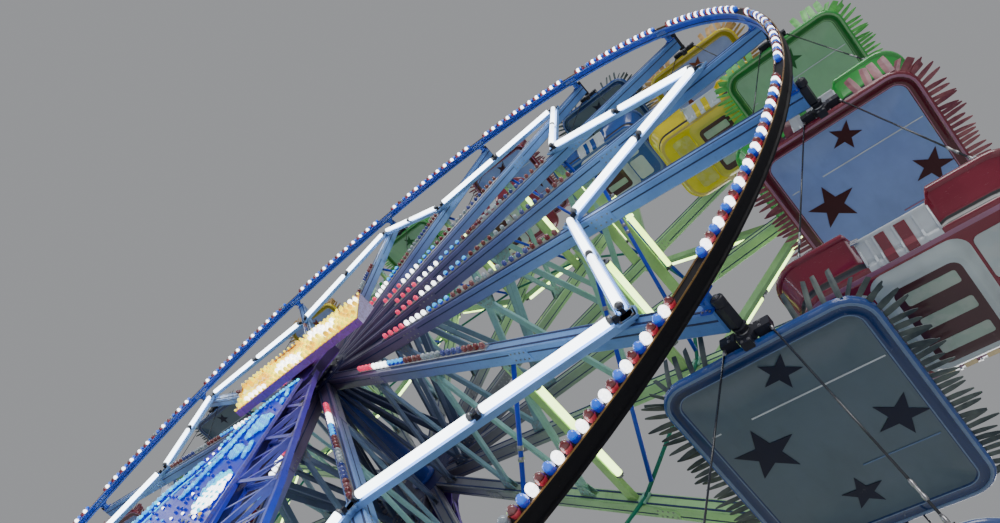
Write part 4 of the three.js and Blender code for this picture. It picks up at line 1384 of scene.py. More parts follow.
def tub_form(paint):
    """The tub: footwell, belly, groove, side panels, rolled rail and the benches' boxes inside."""
    tub = Form()
    rings = [tub_ring(*entry[:5]) for entry in TUB_RINGS]
    size = len(rings[0])
    for ring in rings:
        tub.points.extend(ring)
    for r in range(len(rings) - 1):
        number = TUB_RINGS[r][5]
        for i in range(size):
            j = (i + 1) % size
            middle = (rings[r][i] + rings[r][j] + rings[r + 1][i] + rings[r + 1][j]) / 4
            door = abs(middle.x) < DOOR and abs(middle.y) > 0.5 and 6 < r < 19
            a, b = r * size, (r + 1) * size
            tub.face((a + i, a + j, b + j, b + i), 1 if door else number, True)
    tub.close(0, size, 5, True)
    tub.close((len(rings) - 1) * size, size, 3)
    names = ("mould_" + paint, "white_mould", "groove", "mat", "trim_" + paint, "belly_" + paint)
    return tub.object("bowl", names, 0.002, 40)


def tub_fittings(paint):
    """Door stripes and posts, pale panels and slotted pan below, tabs, latches and lap bars."""
    form = Form()
    for s in (-1, 1):
        for x, width, number in ((-0.175, 0.020, 1), (-0.065, 0.090, 0), (-0.008, 0.016, 1),
                                 (0.100, 0.080, 0), (0.152, 0.016, 1), (0.205, 0.020, 1)):
            door_stripe(form, x * s, width, s, number)
        for x in (-DOOR, DOOR):
            form.tube([(x, s * 0.748, -2.220), (x, s * 0.638, -2.334), (x, s * 0.622, -2.402)], 0.011, 8, 1,
                      (1, 0, 0))
        form.beam(box(0.060, 0.018, 0.004), (0.255 * s, s * 0.772, DOOR_TOP - 0.024),
                  (0.315 * s, s * 0.772, DOOR_TOP - 0.010), (0, s, 0), 2)
        for x in (-1, 1):
            form.beam(box(0.06, 0.05, 0.006), (x * STAY_X, s * STAY_Y, RAIL - 0.004),
                      (x * STAY_X, s * STAY_Y, RAIL + 0.004), (1, 0, 0), 2)
    floor_pan(form)
    for s in (-1, 1):
        for y in (-0.245, 0.245):
            ring = [Vector((p.x + s * 0.565, p.y + y, -2.4545 + 0.0306 * (abs(p.x + s * 0.565) - 0.41)))
                    for p in rounded(0.150, 0.215, 0.05, 0, 3)]
            form.plate(ring, (0, 0, -1), 0.006, 6)
    for x in (-0.27, -0.09, 0.09, 0.27):
        form.beam(box(0.100, 0.014, 0.004), (x, 0.512, -2.463), (x, 0.610, -2.419), UP, 4)
    lap_bar = ((0.93, -0.50, -2.06), (0.62, -0.47, -2.05), (0.53, -0.40, -2.05), (0.51, 0.0, -2.05),
               (0.53, 0.40, -2.05), (0.62, 0.47, -2.05), (0.93, 0.50, -2.06))
    for s in (-1, 1):
        form.tube([(s * x, y, z) for x, y, z in lap_bar], 0.016, 10, 2)
    names = ("mould_" + paint, "white_mould", "stay", "floor_dark", "cream", "slot", "belly_" + paint)
    return form.object("fittings", names)


def door_stripe(form, x, width, s, number):
    """A stripe or rib that follows the door's face from its rail to the belly."""
    steps = [(0.744, -2.234), (0.640, -2.328), (0.624, -2.400), (0.590, -2.428)]
    lift = 0.007 if number else 0.005
    rings = []
    left, right = x - width / 2, x + width / 2
    for y, z in steps:
        inner, outer = (s * (y - 0.008), z + 0.004), (s * (y + lift), z - lift)
        ring = [(left, *inner), (right, *inner), (right, *outer), (left, *outer)]
        rings.append(ring if s > 0 else ring[::-1])
    form.skin(rings, number)


def floor_pan(form):
    """The dark pan under the footwell, inside its pale border, with three pale slots."""
    pan = [rounded(0.262, 0.412, 0.08, FLOOR - 0.0005, 5), rounded(0.256, 0.406, 0.08, FLOOR - 0.004, 5),
           rounded(0.200, 0.350, 0.05, FLOOR - 0.004, 5)]
    last = form.bands([r[::-1] for r in pan], [3, 3], True)
    form.close(last, len(pan[0]), 3)
    for y in (-0.285, -0.02, 0.245):
        ring = [Vector((p.x, p.y + y, FLOOR - 0.0035)) for p in rounded(0.205, 0.060, 0.02, 0, 2)]
        form.plate(ring, (0, 0, -1), 0.004, 5)


def bench_pads():
    """Crowned bench pads and back pads, drawn in between their corners."""
    pads = Form()
    for s in (-1, 1):
        cushion(pads, Vector((s * 0.62, 0, BENCH + 0.002)), 0.22, 0.50, 0.062, s)
        back_pad(pads, s)
    return pads.object("pads", ("cushion",))


def cushion(pads, centre, half_x, half_y, height, s):
    """A bench pad with sewn channels across it."""
    nx, ny = 8, 24
    base, row = len(pads.points), ny + 1
    for side in (1, 0):
        for i in range(nx + 1):
            for j in range(ny + 1):
                u, v = i / nx * 2 - 1, j / ny * 2 - 1
                pull = 1 - 0.035 * (1 - abs(v) ** 3) * abs(u) ** 4
                crown = (1 - abs(u) ** 5) * (1 - abs(v) ** 7)
                seam = min(abs(v - c) for c in (-0.5, 0.0, 0.5))
                groove = max(0.0, 1 - seam / 0.05) * 0.22
                lift = height * (0.36 + 0.64 * crown * (1 - groove)) if side else 0.0
                bow = 0.06 * (1 - v * v) if u * s > 0 else 0.0
                pads.points.append(centre + Vector((u * half_x * pull + bow * s * abs(u),
                                                    v * half_y * (1 - 0.05 * abs(u) ** 4), lift)))
    for side in (0, 1):
        start = base + side * (nx + 1) * row
        for i in range(nx):
            for j in range(ny):
                a = start + i * row + j
                quad = (a, a + row, a + row + 1, a + 1)
                pads.face(quad if side == 0 else quad[::-1], 0, True)
    low = base + (nx + 1) * row
    for (i0, j0), (i1, j1) in border(nx, ny):
        a, b = i0 * row + j0, i1 * row + j1
        pads.face((low + a, low + b, base + b, base + a), 0, True)


def border(nx, ny):
    """Pairs of neighbours round the edge of a grid."""
    edge = ([(i, 0) for i in range(nx)] + [(nx, j) for j in range(ny)]
            + [(i, ny) for i in range(nx, 0, -1)] + [(0, j) for j in range(ny, 0, -1)])
    return zip(edge, edge[1:] + edge[:1])


def back_pad(pads, s):
    """A back pad that follows the tub's round end."""
    steps, rows = 26, 6
    base, row = len(pads.points), rows + 1
    count = (steps + 1) * row
    for layer in (0, 1):
        for i in range(steps + 1):
            v = i / steps * 2 - 1
            y = v * 0.52
            corner = max(0.0, abs(y) - 0.36) / 0.26
            x = 0.905 - 0.26 * (1 - math.sqrt(1 - corner ** 2))
            for r in range(rows + 1):
                h = r / rows
                crown = (1 - abs(2 * h - 1) ** 4) * (1 - abs(v) ** 10)
                seam = min(abs(v - c) for c in (-0.5, -0.17, 0.17, 0.5))
                sewn = 1 - 0.25 * max(0.0, 1 - seam / 0.035)
                depth = 0.012 + 0.038 * crown * sewn if layer else 0.0
                pads.points.append(Vector((s * (x + 0.10 * h - depth), y * (1 - depth * 0.4),
                                           -2.205 + 0.21 * h)))
    for layer in (0, 1):
        for i in range(steps):
            for r in range(rows):
                a = base + layer * count + i * row + r
                quad = (a, a + 1, a + row + 1, a + row)
                flip = (layer == 0) == (s > 0)
                pads.face(quad[::-1] if flip else quad, 0, True)
    for (i0, r0), (i1, r1) in border(steps, rows):
        a, b = base + i0 * row + r0, base + i1 * row + r1
        quad = (a, b, b + count, a + count)
        pads.face(quad if s > 0 else quad[::-1], 0, True)


# The towers and what they carry.

TOWER_FRONT, TOWER_BACK, TOWER_MID = 1.670, 1.490, 1.580
SILL_TOP = 0.280
LEG_SLOPE, LEG_HALF_TOP, LEG_TAPER, TAPER_END = 0.445, 0.240, 0.08, 4.25
CHORD = 0.110
FOOT = AXLE.z - SILL_TOP - 0.0003
SILL_Y, SILL_HALF = 2.38, 5.8


def leaning(x, drop, y, side):
    """A point on a tower, drop metres below the axle; y is measured at the axle's height."""
    return Vector((x, side * (y + LEAN * drop), AXLE.z - drop))


def on_tower(points, y, side):
    """Places (x, z) pairs, measured from the axle, on a tower."""
    return [leaning(x, -z, y, side) for x, z in points]


def circle(radius, count, start=math.pi / 2):
    """Evenly spread (x, z) pairs round the axle."""
    return [(radius * math.cos(a), radius * math.sin(a)) for a in turns(count, start)]


def facing(loops, side):
    """Turns loops round where the side is the front, so that their faces look outward."""
    return loops if side > 0 else [ring[::-1] for ring in loops]


def leg_half(t):
    """Half a leg's width, t metres below the axle."""
    return LEG_HALF_TOP + LEG_TAPER * min(t, TAPER_END)


def leg_point(t, edge, s, side, inset, y=TOWER_MID):
    """A point on a leg's side, inset metres inside its edge."""
    return leaning(s * (LEG_SLOPE * t + edge * (leg_half(t) - inset)), t, y, side)


def lace_stops():
    """How far below the axle the laces of a leg meet its chords."""
    count, first = 18, 0.98
    return [first + (FOOT - 0.14 - first) * (i / count) ** 1.12 for i in range(count + 1)]


class WHEEL_OT_towers(bpy.types.Operator):
    """Two laced legs on each side, joined at the head, with the bearing blocks"""

    bl_idname = "wheel.towers"
    bl_label = "Towers"

    def execute(self, context):
        for side, place in ((-1, "front"), (1, "rear")):
            tower = Form()
            for s in (-1, 1):
                self.leg(tower, s, side)
            self.head(tower, side)
            names = ("tower", "tower_lace", "bolt", "tower_web")
            settle(tower.object("tower_legs_" + place, names, 0.003),
                   "base", "tower_paint", "tower_" + place)
            block = Form()
            self.bearing(block, side)
            settle(block.object("bearing_block_" + place, ("housing", "bolt", "dark"), 0.005),
                   "base", "bearing_iron", "bearing_" + place)
        return {"FINISHED"}

    def leg(self, tower, s, side):
        """The inner chord of two flange bars with a web between them painted dark as painted shade, and the
        slim outer one.
        """
        for span in ((0.40, TAPER_END), (TAPER_END, FOOT)):
            for edge, y0, y1, near, far, number in (
                    (-1, TOWER_BACK, TOWER_BACK + 0.045, 0.0, CHORD, 0),
                    (-1, TOWER_FRONT - 0.045, TOWER_FRONT, 0.0, CHORD, 0),
                    # The web between the inner chord's flanges is painted dark: painted shade.
                    (-1, TOWER_BACK + 0.045, TOWER_FRONT - 0.045, 0.025, 0.085, 3),
                    (1, TOWER_MID - 0.034, TOWER_MID + 0.034, 0.0, 0.064, 0),
                    # A thin strip in the laces' paler paint along the outer chord: a painted highlight
                    # line.
                    (1, TOWER_MID + 0.034, TOWER_MID + 0.040, 0.004, 0.026, 1)):
                self.bar(tower, span, edge, (s, side), (y0, y1), (near, far), number)
        self.lace(tower, s, side)
        self.foot(tower, s, side)

    def bar(self, tower, span, edge, way, depth, insets, number):
        """A bar along a leg's side, between two depths and two insets."""
        s, side = way
        (near, far), (back, front) = insets, depth
        rings = [[leg_point(t, edge, s, side, inset, y) for inset, y in (
            (near, back), (far, back), (far, front), (near, front))] for t in span]
        tower.skin(facing(rings, -s * edge * side), number)

    def lace(self, tower, s, side):
        """Zigzag bars on both faces of a leg and straight ones across it, with their gussets."""
        stops, out = lace_stops(), AXIS * side
        for face in (-1, 1):
            depth = {-1: TOWER_MID + face * 0.056, 1: TOWER_MID + face * 0.012}
            for i in range(len(stops) - 1):
                edge = 1 if i % 2 == 0 else -1
                a = leg_point(stops[i], edge, s, side, 0.07, depth[edge])
                b = leg_point(stops[i + 1], -edge, s, side, 0.07, depth[-edge])
                tower.beam(angle_bar(0.046, 0.010, face), a, b, out, 1)
            for i, t in enumerate(stops):
                edge = 1 if i % 2 == 0 else -1
                self.gusset(tower, t, edge, (s, side), face)
                if 0 < i < len(stops) - 1:
                    ends = [leg_point(t, e, s, side, 0.07, depth[e] - face * 0.012) for e in (edge, -edge)]
                    tower.beam(box(0.034, 0.010, 0.002), *ends, out, 1)

    def gusset(self, tower, t, edge, way, face):
        """A bolted plate where laces meet a chord."""
        s, side = way
        out = AXIS * side * face
        at = leg_point(t, edge, s, side, 0.085 if edge < 0 else 0.060)
        proud = 0.0885 if edge < 0 else 0.035
        low, high = (leg_point(t + step, edge, s, side, CHORD) for step in (0.5, -0.5))
        run, inward = (low - high).normalized(), Vector((-s * edge, 0, 0))
        outline = [at - run * 0.14 - inward * 0.06, at + run * 0.14 - inward * 0.06,
                   at + run * 0.04 + inward * 0.075, at - run * 0.04 + inward * 0.075]
        tower.plate(shifted(outline, out * proud), out, 0.008, 0)
        for reach, step in ((-0.09, -0.02), (-0.03, -0.02), (0.03, -0.02), (0.09, -0.02), (0.0, 0.04)):
            tower.bolt(at + run * reach + inward * step + out * (proud + 0.007), out, 0.010, 2)

    def foot(self, tower, s, side):
        """The bolted foot plate and the bar above it."""
        centre, half = leaning(s * LEG_SLOPE * FOOT, FOOT, TOWER_MID, side), leg_half(FOOT)
        tower.beam(box(0.24, 0.024, 0.004), centre + Vector((-half - 0.05, 0, 0.013)),
                   centre + Vector((half + 0.05, 0, 0.013)), UP, 0)
        for x in (-half - 0.02, -half + 0.15, -0.2, 0.2, half - 0.15, half + 0.02):
            for y in (-0.105, 0.105):
                tower.bolt(centre + Vector((x, y, 0.024)), UP, 0.014, 2)
        t = FOOT - 0.14
        a, b = (leg_point(t, e * s, s, side, 0.09) for e in (-1, 1))
        tower.beam(box(0.16, 0.12, 0.008), a, b, UP, 0)

    def head(self, tower, side):
        """The two plates of the tower's head and the web between them, painted dark as painted shade."""
        out = AXIS * side
        outline = [(-0.42, 0.35), (-0.42, -0.343), (-0.60, -0.72), (-0.28, -0.93), (0.0, -0.62),
                   (0.28, -0.93), (0.60, -0.72), (0.42, -0.343), (0.42, 0.35)]
        ring = on_tower(outline, TOWER_MID, side)
        bore = on_tower(circle(0.145, 32), TOWER_MID, side)
        for y0, y1 in ((-0.0895, -0.072), (0.072, 0.0895)):
            self.bored_plate(tower, ring, bore, out, y0, y1)
        inset = on_tower([(x * 0.97, z * 0.97) for x, z in outline], TOWER_MID, side)
        loops = [shifted(ring, out * -0.075), shifted(ring, out * 0.075),
                 shifted(inset, out * 0.075), shifted(inset, out * -0.075)]
        # Finish 3 paints the wall between the two plates dark: painted shade.
        tower.skin(facing(loops, side), 3, False, False, True)
        bolts = [(x, z) for x in (-0.36, 0.36) for z in (-0.28, -0.02, 0.26)]
        for place in on_tower(bolts, TOWER_MID + 0.088, side):
            tower.bolt(place, out, 0.018, 2)

    def bored_plate(self, tower, ring, bore, out, y0, y1):
        """A plate with a round hole, filled between its outline and the hole."""
        outline = resampled(ring, bore)
        loops = [shifted(bore, out * y0), shifted(outline, out * y0),
                 shifted(outline, out * y1), shifted(bore, out * y1)]
        tower.skin(facing(loops, out.y), 0, False, False, True)

    def bearing(self, block, side):
        """The bearing's housing: a bored block with a raised collar and its bolts."""
        out = AXIS * side
        outline = [(-0.26, -0.22), (0.26, -0.22), (0.26, 0.05), (0.14, 0.24), (-0.14, 0.24), (-0.26, 0.05)]
        bore, shoulder, collar, lip = (on_tower(circle(r, 48), TOWER_FRONT, side)
                                       for r in (BORE, 0.200, 0.185, 0.150))
        around = resampled(on_tower(outline, TOWER_FRONT, side), bore)
        loops = [shifted(ring, out * y) for ring, y in (
            (bore, 0.0004), (around, 0.0004), (around, 0.070), (shoulder, 0.078), (collar, 0.106),
            (lip, 0.109), (bore, 0.109))]
        block.skin(facing(loops, side), 0, False, False, True)
        corners = ((-0.215, -0.175), (0.215, -0.175), (-0.215, 0.02), (0.215, 0.02))
        for places, y, radius in ((corners, 0.069, 0.020), (circle(0.165, 8, math.pi / 8), 0.106, 0.009)):
            for place in on_tower(places, TOWER_FRONT + y, side):
                block.bolt(place, out, radius, 1)


def angle_bar(width, wall, face):
    """An L section lying flat on a tower's face."""
    w, f = width / 2, face
    points = [(-w, f * 0.030), (w, f * 0.030), (w, f * (0.030 - wall)), (-w + wall, f * (0.030 - wall)),
              (-w + wall, -f * 0.022), (-w, -f * 0.022)]
    return points if f < 0 else points[::-1]


def shifted(ring, way):
    return [p + way for p in ring]


def resampled(ring, like):
    """Points on a closed outline, one on the ray from the middle to each point of another ring."""
    middle = sum((Vector(p) for p in like), Vector()) / len(like)
    found = []
    for target in like:
        ray, best = target - middle, None
        for a, b in zip(ring, ring[1:] + ring[:1]):
            hit = crossing(middle, ray, a, b)
            if hit is not None and (best is None or hit < best):
                best = hit
        found.append(middle + ray * (best or 1.5))
    return found


def crossing(middle, ray, a, b):
    """How far along a ray, seen in the XZ plane, it meets the segment from a to b."""
    dx, dz = b.x - a.x, b.z - a.z
    cross = ray.x * dz - ray.z * dx
    if abs(cross) < 1e-12:
        return None
    t = ((a.x - middle.x) * dz - (a.z - middle.z) * dx) / cross
    u = ((a.x - middle.x) * ray.z - (a.z - middle.z) * ray.x) / cross
    return t if t > 0 and -1e-6 <= u <= 1 + 1e-6 else None


SIGN_HALF, SIGN_AT, SIGN_TURN = (1.355, 0.300), (0.384, -0.378), math.radians(8.8)
SIGN_BACK, SIGN_LOW, SIGN_HIGH = 0.1103, 0.233, 0.426
PANEL_OUTLINE = [(-0.36, -0.72), (-2.10, -2.30), (-2.55, -3.50), (-1.90, -4.70), (1.34, -4.40),
                 (0.48, -0.80)]


class WHEEL_OT_marquee(bpy.types.Operator):
    """The blank marquee sign in front of the hub, its face leaning down, covered with bulbs"""

    bl_idname = "wheel.marquee"
    bl_label = "Marquee sign"

    def execute(self, context):
        case, bulbs = Form(), Form()
        self.case(case)
        self.bulbs(bulbs)
        names = ("sign", "sign_case", "sign_end", "sign_edge", "bolt")
        settle(case.object("sign_case", names, 0.004), "base", "sign_orange", "sign_board")
        names = ("lamp_warm", "lamp_amber", "lamp_white")
        settle(bulbs.object("sign_bulbs", names), "base", "sign_orange")
        return {"FINISHED"}

    def at(self, u, v, depth):
        """A point of the board: u and v run from -1 to 1, depth from 0 at its back to 1."""
        x, z = u * SIGN_HALF[0], v * SIGN_HALF[1]
        px = SIGN_AT[0] + x * math.cos(SIGN_TURN) - z * math.sin(SIGN_TURN)
        pz = SIGN_AT[1] + x * math.sin(SIGN_TURN) + z * math.cos(SIGN_TURN)
        front = SIGN_LOW + (SIGN_HIGH - SIGN_LOW) * (v + 1) / 2
        return leaning(px, -pz, TOWER_FRONT + SIGN_BACK + (front - SIGN_BACK) * depth, -1)

    def case(self, case):
        """The folded case, a rim round its face and ribs on its top, underside and back."""
        corners = ((-1, -1), (1, -1), (1, 1), (-1, 1))
        loops = [[self.at(u, v, 0) for u, v in corners], [self.at(u, v, 1) for u, v in corners],
                 [self.at(u * 0.985, v * 0.93, 1) for u, v in corners],
                 [self.at(u * 0.980, v * 0.91, 0.93) for u, v in corners]]
        last = case.bands(loops, [1, 3, 3])
        case.close(0, 4, 1, True)
        case.close(last, 4, 0)
        case.finishes[1] = 2             # the end by the hub is lavender
        for u in (-0.92, -0.55, -0.18, 0.18, 0.55, 0.92):
            for v in (-1, 1):
                case.beam(box(0.05, 0.012, 0.002), self.at(u, v, 0.1), self.at(u, v, 0.9),
                          (0, 0, v), 1)
            case.beam(box(0.05, 0.012, 0.002), self.at(u, -0.9, -0.01), self.at(u, 0.9, -0.01),
                      AXIS, 1)

    def bulbs(self, bulbs):
        """Rows of warm bulbs in drifts over the face, and one row all round its rim."""
        rng = random.Random(5)
        normal = (self.at(0, 0.5, 1) - self.at(0, -0.5, 1)).cross(self.at(0.5, 0, 1) - self.at(-0.5, 0, 1))
        normal = normal.normalized() * (1 if normal.y < 0 else -1)
        for j in range(5):
            for i in range(27):
                u, v = (i - 13) / 13.9, (j - 2) / 2.7
                drift = math.sin(i * 0.55 + j * 1.3) + math.sin(i * 0.23 - j * 0.9)
                if drift < -0.85:
                    continue
                number = 1 if drift < -0.2 else (2 if drift > 0.8 else 0)
                radius = 0.034 + 0.008 * rng.random()
                cap_lamp(bulbs, self.at(u, v + 0.03 * (i % 2), 0.93), normal, radius, number, number, 7)
        for i in range(30):
            for v in (-0.965, 0.965):
                cap_lamp(bulbs, self.at((i - 14.5) / 14.8, v, 1.0), normal, 0.020, 0, 1, 7)


class WHEEL_OT_bulb_panel(bpy.types.Operator):
    """The deep blue panel between the front legs with its drifts of small bulbs"""

    bl_idname = "wheel.bulb_panel"
    bl_label = "Bulb panel"

    STRING = [(0.46, -0.86), (0.04, -0.84), (-0.36, -0.94), (-0.58, -1.12), (-0.78, -1.30),
              (-0.87, -1.62), (-1.12, -1.86), (-1.36, -2.02), (-1.74, -2.12), (-1.96, -2.36),
              (-2.16, -2.62), (-2.28, -3.00), (-2.38, -3.42), (-2.22, -3.80), (-2.02, -4.20),
              (-1.86, -4.52)]
    CYAN = (
        [(0.33, -1.02), (0.58, -1.16), (0.72, -1.62), (0.70, -1.80), (0.52, -1.43)],
        [(0.78, -2.02), (0.86, -2.36), (0.65, -2.20), (0.25, -2.15), (0.12, -1.84), (0.12, -1.56),
         (0.50, -1.73)],
        [(0.98, -2.76), (1.08, -3.16), (0.88, -2.93), (0.70, -2.68), (0.72, -2.50)],
        [(0.22, -2.24), (0.54, -2.51), (0.57, -2.67), (0.38, -2.65), (0.14, -2.45), (0.04, -2.14)],
        [(0.30, -3.30), (0.32, -3.07), (0.52, -2.98), (0.60, -3.10), (0.50, -3.40)],
        [(-0.30, -1.30), (-0.16, -1.30), (-0.20, -2.10), (-0.52, -2.90), (-0.66, -2.84), (-0.36, -2.06)],
    )
    WHITE = [(0.86, -3.16), (1.12, -3.55), (1.10, -3.90), (0.74, -3.90), (0.42, -3.55), (0.60, -3.10)]

    def execute(self, context):
        board, bulbs = Form(), Form()
        self.board(board)
        for draw in (self.string, self.patches, self.dots):
            draw(bulbs)
        settle(board.object("bulb_panel", ("panel", "tower_lace", "bolt"), 0.003),
               "base", "panel_blue", "light_panel")
        names = ("lamp_cyan", "lamp_sky", "lamp_white", "lamp_blue", "dark_clear", "lamp_amber")
        settle(bulbs.object("panel_bulbs", names), "base", "panel_blue")
        return {"FINISHED"}

    def place(self, x, z, lift=0.030):
        """A point of the panel, lift metres in front of the tower."""
        return leaning(x, -z, TOWER_FRONT + lift, -1)

    def board(self, board):
        """The panel: a raised edge round a sunk face, with a bolt near each corner."""
        count = len(PANEL_OUTLINE)
        cx = sum(x for x, _ in PANEL_OUTLINE) / count
        cz = sum(z for _, z in PANEL_OUTLINE) / count
        loops = [[self.place(cx + (x - cx) * share, cz + (z - cz) * share, lift) for x, z in PANEL_OUTLINE]
                 for share, lift in ((1.0, 0.0003), (1.0, 0.044), (0.985, 0.044), (0.982, 0.030))]
        last = board.bands(loops, [1, 1, 1])
        board.close(0, count, 1, True)
        # The sunk face takes the panel paint, which glows evenly as painted light from the bulbs.
        board.close(last, count, 0)
        for x, z in PANEL_OUTLINE:
            at = self.place(cx + (x - cx) * 0.94, cz + (z - cz) * 0.94)
            board.bolt(at, -AXIS, 0.016, 2)

    def ball(self, bulbs, x, z, radius, number):
        """A small bulb on the panel."""
        cap_lamp(bulbs, self.place(x, z), -AXIS, radius, number, 3, 6)

    def string(self, bulbs):
        """The outer string of cyan balls, single and close at first, then in pairs, with a rail."""
        upper, lower = self.STRING[:6], self.STRING[6:]
        for i, (x, z) in enumerate(along(upper, 0.072)):
            self.ball(bulbs, x, z, 0.030, (1, 0, 1)[i % 3])
        for x, z in along(self.STRING[5:7], 0.11):
            self.ball(bulbs, x, z, 0.022, 2)
        for i, (x, z) in enumerate(along(lower, 0.090)):
            self.ball(bulbs, x, z, 0.038, (0, 0, 1)[i % 3])
            self.ball(bulbs, x + 0.085, z - 0.02, 0.038, (0, 1, 0)[i % 3])
        rail = [self.place(x * 0.86 + 0.16, z * 0.97 - 0.16, 0.046) for x, z in self.STRING[3:]]
        for start, end in zip(rail, rail[1:]):
            bulbs.beam(box(0.014, 0.012, 0.002), start, end, AXIS, 1)

    def patches(self, bulbs):
        """Solid drifts of cyan balls and one of white ones with a cyan edge."""
        pitch = 0.072
        for row in range(62):
            for column in range(56):
                x, z = -2.3 + column * pitch + (row % 2) * pitch / 2, -0.9 - row * pitch * 0.87
                if not inside(PANEL_OUTLINE, x, z, 0.07):
                    continue
                if inside(self.WHITE, x, z):
                    self.ball(bulbs, x, z, 0.033, 1 if z > -3.3 or (row + column) % 5 == 0 else 2)
                elif any(inside(patch, x, z) for patch in self.CYAN):
                    self.ball(bulbs, x, z, 0.033, (0, 1, 0, 0)[(row + column) % 4])

    def dots(self, bulbs):
        """Scattered blue balls over the rest, unlit and amber ones low down, and a few white dots."""
        rng = random.Random(3)
        taken = [*self.CYAN, self.WHITE]
        pitch = 0.150
        for row in range(28):
            for column in range(28):
                x = -2.4 + column * pitch + (row % 2) * pitch / 2 + rng.uniform(-0.02, 0.02)
                z = -0.85 - row * pitch * 0.9 + rng.uniform(-0.02, 0.02)
                if not inside(PANEL_OUTLINE, x, z, 0.09) or any(inside(patch, x, z) for patch in taken):
                    continue
                share = rng.random()
                if z < -3.7 and x > 0.0:
                    self.ball(bulbs, x, z, 0.026, 4 if share < 0.6 else (2 if share < 0.8 else 5))
                elif share < 0.40:
                    self.ball(bulbs, x, z, 0.022, 2 if share < 0.05 else (0 if share < 0.14 else 3))


class WHEEL_OT_ground_frame(bpy.types.Operator):
    """Sills, cross beams, pads and the boarding deck"""

    bl_idname = "wheel.ground_frame"
    bl_label = "Ground frame"

    BEAMS = (-5.1, -1.6, 1.6, 5.1)

    def execute(self, context):
        sill = Form()
        for s in (-1, 1):
            y = s * SILL_Y
            for z in (0.055, 0.265):
                sill.along_x(box(0.26, 0.030, 0.004), SILL_HALF, y, z)
            sill.along_x(box(0.10, 0.182), SILL_HALF, y, 0.160)
            for i in range(-14, 15):
                sill.beam(box(0.012, 0.185), (i * 0.4, y - 0.118, 0.160), (i * 0.4, y + 0.118, 0.160), UP)
            for x in self.BEAMS:
                self.pad(sill, x, y)
        for x in self.BEAMS:
            sill.along_y(box(0.20, 0.19, 0.012), x, 2.28, 0.155)
        settle(sill.object("sill_frame", ("base", "bolt", "zinc"), 0.004),
               "base", "base_steel", "base_frame")
        self.deck()
        return {"FINISHED"}

    def pad(self, sill, x, y):
        """A square pad under a sill."""
        profile = [(0.345, 0), (0.345, 0.02), (0.335, 0.026), (0.12, 0.032), (0.12, 0.045)]
        sill.lathe((x, y, 0.0), UP, profile, 4, 2, False)
        for dx, dy in fours(0.19, 0.19):
            sill.bolt((x + dx, y + dy, 0.026), UP, 0.020, 1)

    def deck(self):
        """Twelve tread plates on bars and round feet."""
        deck = Form()
        x, y = 1.4997, 2.2497
        for i in range(4):
            for j in range(3):
                x0, x1 = -x + i * x / 2 + 0.003, -x + (i + 1) * x / 2 - 0.003
                y0, y1 = -y + j * y * 2 / 3 + 0.003, -y + (j + 1) * y * 2 / 3 - 0.003
                outline = [(px, py, 0.285) for px, py in ((x0, y0), (x1, y0), (x1, y1), (x0, y1))]
                deck.plate(outline, UP, 0.015)
        for s in (-1, 1):
            deck.along_x(box(0.04, 0.045, 0.003), x, s * (y - 0.02), 0.262, 1)
            deck.along_y(box(0.04, 0.045, 0.003), s * (x - 0.02), y - 0.04, 0.262, 1)
        for at in (-1.2, -0.6, 0.0, 0.6, 1.2):
            deck.along_y(box(0.05, 0.05, 0.003), at, y - 0.04, 0.260, 1)
        for at in (-1.2, 0.0, 1.2):
            for yy in (-1.7, -0.85, 0.0, 0.85, 1.7):
                foot = [(0.07, 0), (0.07, 0.012), (0.03, 0.02), (0.03, 0.236)]
                deck.lathe((at, yy, 0.0), UP, foot, 12, 1)
        settle(deck.object("boarding_deck", ("deck", "zinc"), 0.002),
               "base", "deck_plate", "loading_deck")


# The studio.


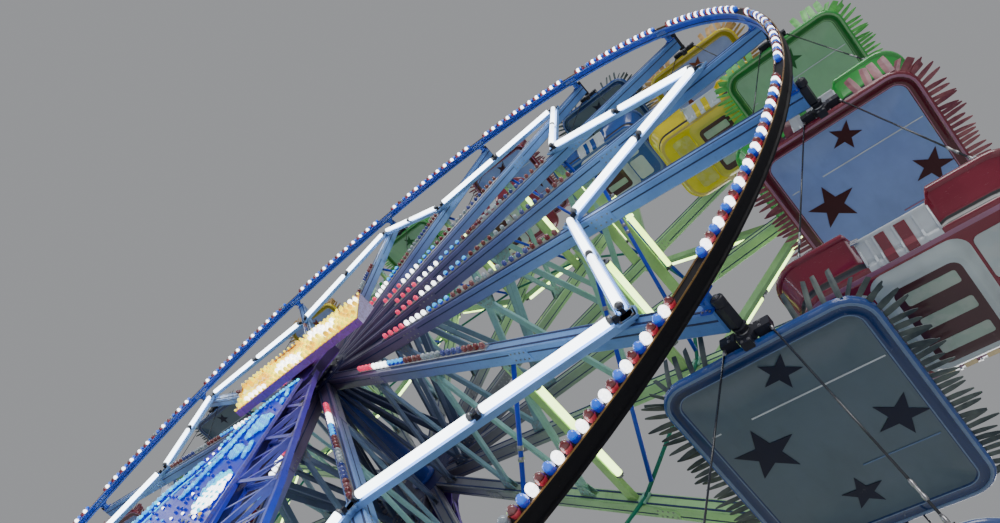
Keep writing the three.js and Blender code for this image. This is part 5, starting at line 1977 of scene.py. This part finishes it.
class WHEEL_OT_studio(bpy.types.Operator):
    """Floor, lights and the camera at the photograph's place"""

    bl_idname = "wheel.studio"
    bl_label = "Studio"

    def execute(self, context):
        floor = Form()
        floor.points = [Vector(p) for p in ((-600, -600, 0), (600, -600, 0), (600, 600, 0), (-600, 600, 0))]
        floor.face((0, 1, 2, 3))
        floor.object("studio_floor", ("floor",))
        self.world()
        for name, place, power, width, colour in (
                ("key", (16, -22, 24), 4800, 14, (1.0, 0.98, 0.96)),
                ("fill", (-28, -16, 21), 2700, 20, (0.92, 0.96, 1.0)),
                ("back", (4, 26, 22), 2600, 16, (1.0, 1.0, 1.0))):
            lamp = bpy.data.lights.new(name, "AREA")
            lamp.energy, lamp.size, lamp.color = power, width, colour
            made = bpy.data.objects.new(name, lamp)
            bpy.context.scene.collection.objects.link(made)
            made.location = place
            made.rotation_euler = (AXLE - Vector(place)).to_track_quat("-Z", "Y").to_euler()
        self.camera()
        return {"FINISHED"}

    def world(self):
        """A plain grey world for soft light from all sides."""
        world = bpy.data.worlds.new("Studio")
        bpy.context.scene.world = world
        world.use_nodes = True
        ground = world.node_tree.nodes["Background"]
        ground.inputs["Color"].default_value = (0.50, 0.51, 0.53, 1)
        ground.inputs["Strength"].default_value = 0.65

    def camera(self):
        """The camera that was worked out from the photograph."""
        lens = bpy.data.cameras.new("photo_camera")
        lens.lens, lens.sensor_width = 28.143, 36.0
        lens.clip_start, lens.clip_end = 0.1, 300.0
        made = bpy.data.objects.new("photo_camera", lens)
        bpy.context.scene.collection.objects.link(made)
        right, up = Vector((0.73795, 0.64929, 0.18398)), Vector((0.51253, -0.71658, 0.47311))
        turn = Matrix((right, up, right.cross(up))).transposed()
        made.matrix_world = Matrix.Translation((8.7801, -4.0956, 2.1109)) @ turn.to_4x4()
        bpy.context.scene.camera = made


class VIEW3D_PT_wheel(bpy.types.Panel):
    """Lists the wheel's pieces in the sidebar."""

    bl_label = "Fairground wheel"
    bl_idname = "VIEW3D_PT_wheel"
    bl_space_type = "VIEW_3D"
    bl_region_type = "UI"
    bl_category = "Wheel"

    def draw(self, context):
        layout = self.layout
        for group in (context.scene.wheel_sizes, context.scene.wheel_colours):
            box = layout.box()
            for name in group.__annotations__:
                box.prop(group, name)
        for operator in PIECES:
            layout.operator(operator.bl_idname)


PIECES = (
    WHEEL_OT_lamp_ring, WHEEL_OT_light_stars, WHEEL_OT_spokes, WHEEL_OT_lattice, WHEEL_OT_cabins,
    WHEEL_OT_towers, WHEEL_OT_marquee, WHEEL_OT_bulb_panel, WHEEL_OT_ground_frame, WHEEL_OT_studio,
)
CLASSES = (WheelSizes, WheelColours, *PIECES, VIEW3D_PT_wheel)


def register():
    for cls in CLASSES:
        bpy.utils.register_class(cls)
    bpy.types.Scene.wheel_sizes = bpy.props.PointerProperty(type=WheelSizes)
    bpy.types.Scene.wheel_colours = bpy.props.PointerProperty(type=WheelColours)


def unregister():
    del bpy.types.Scene.wheel_colours
    del bpy.types.Scene.wheel_sizes
    for cls in reversed(CLASSES):
        bpy.utils.unregister_class(cls)


def main():
    register()
    for piece in PIECES:
        group, name = piece.bl_idname.split(".")
        getattr(getattr(bpy.ops, group), name)()


if __name__ == "__main__":
    main()
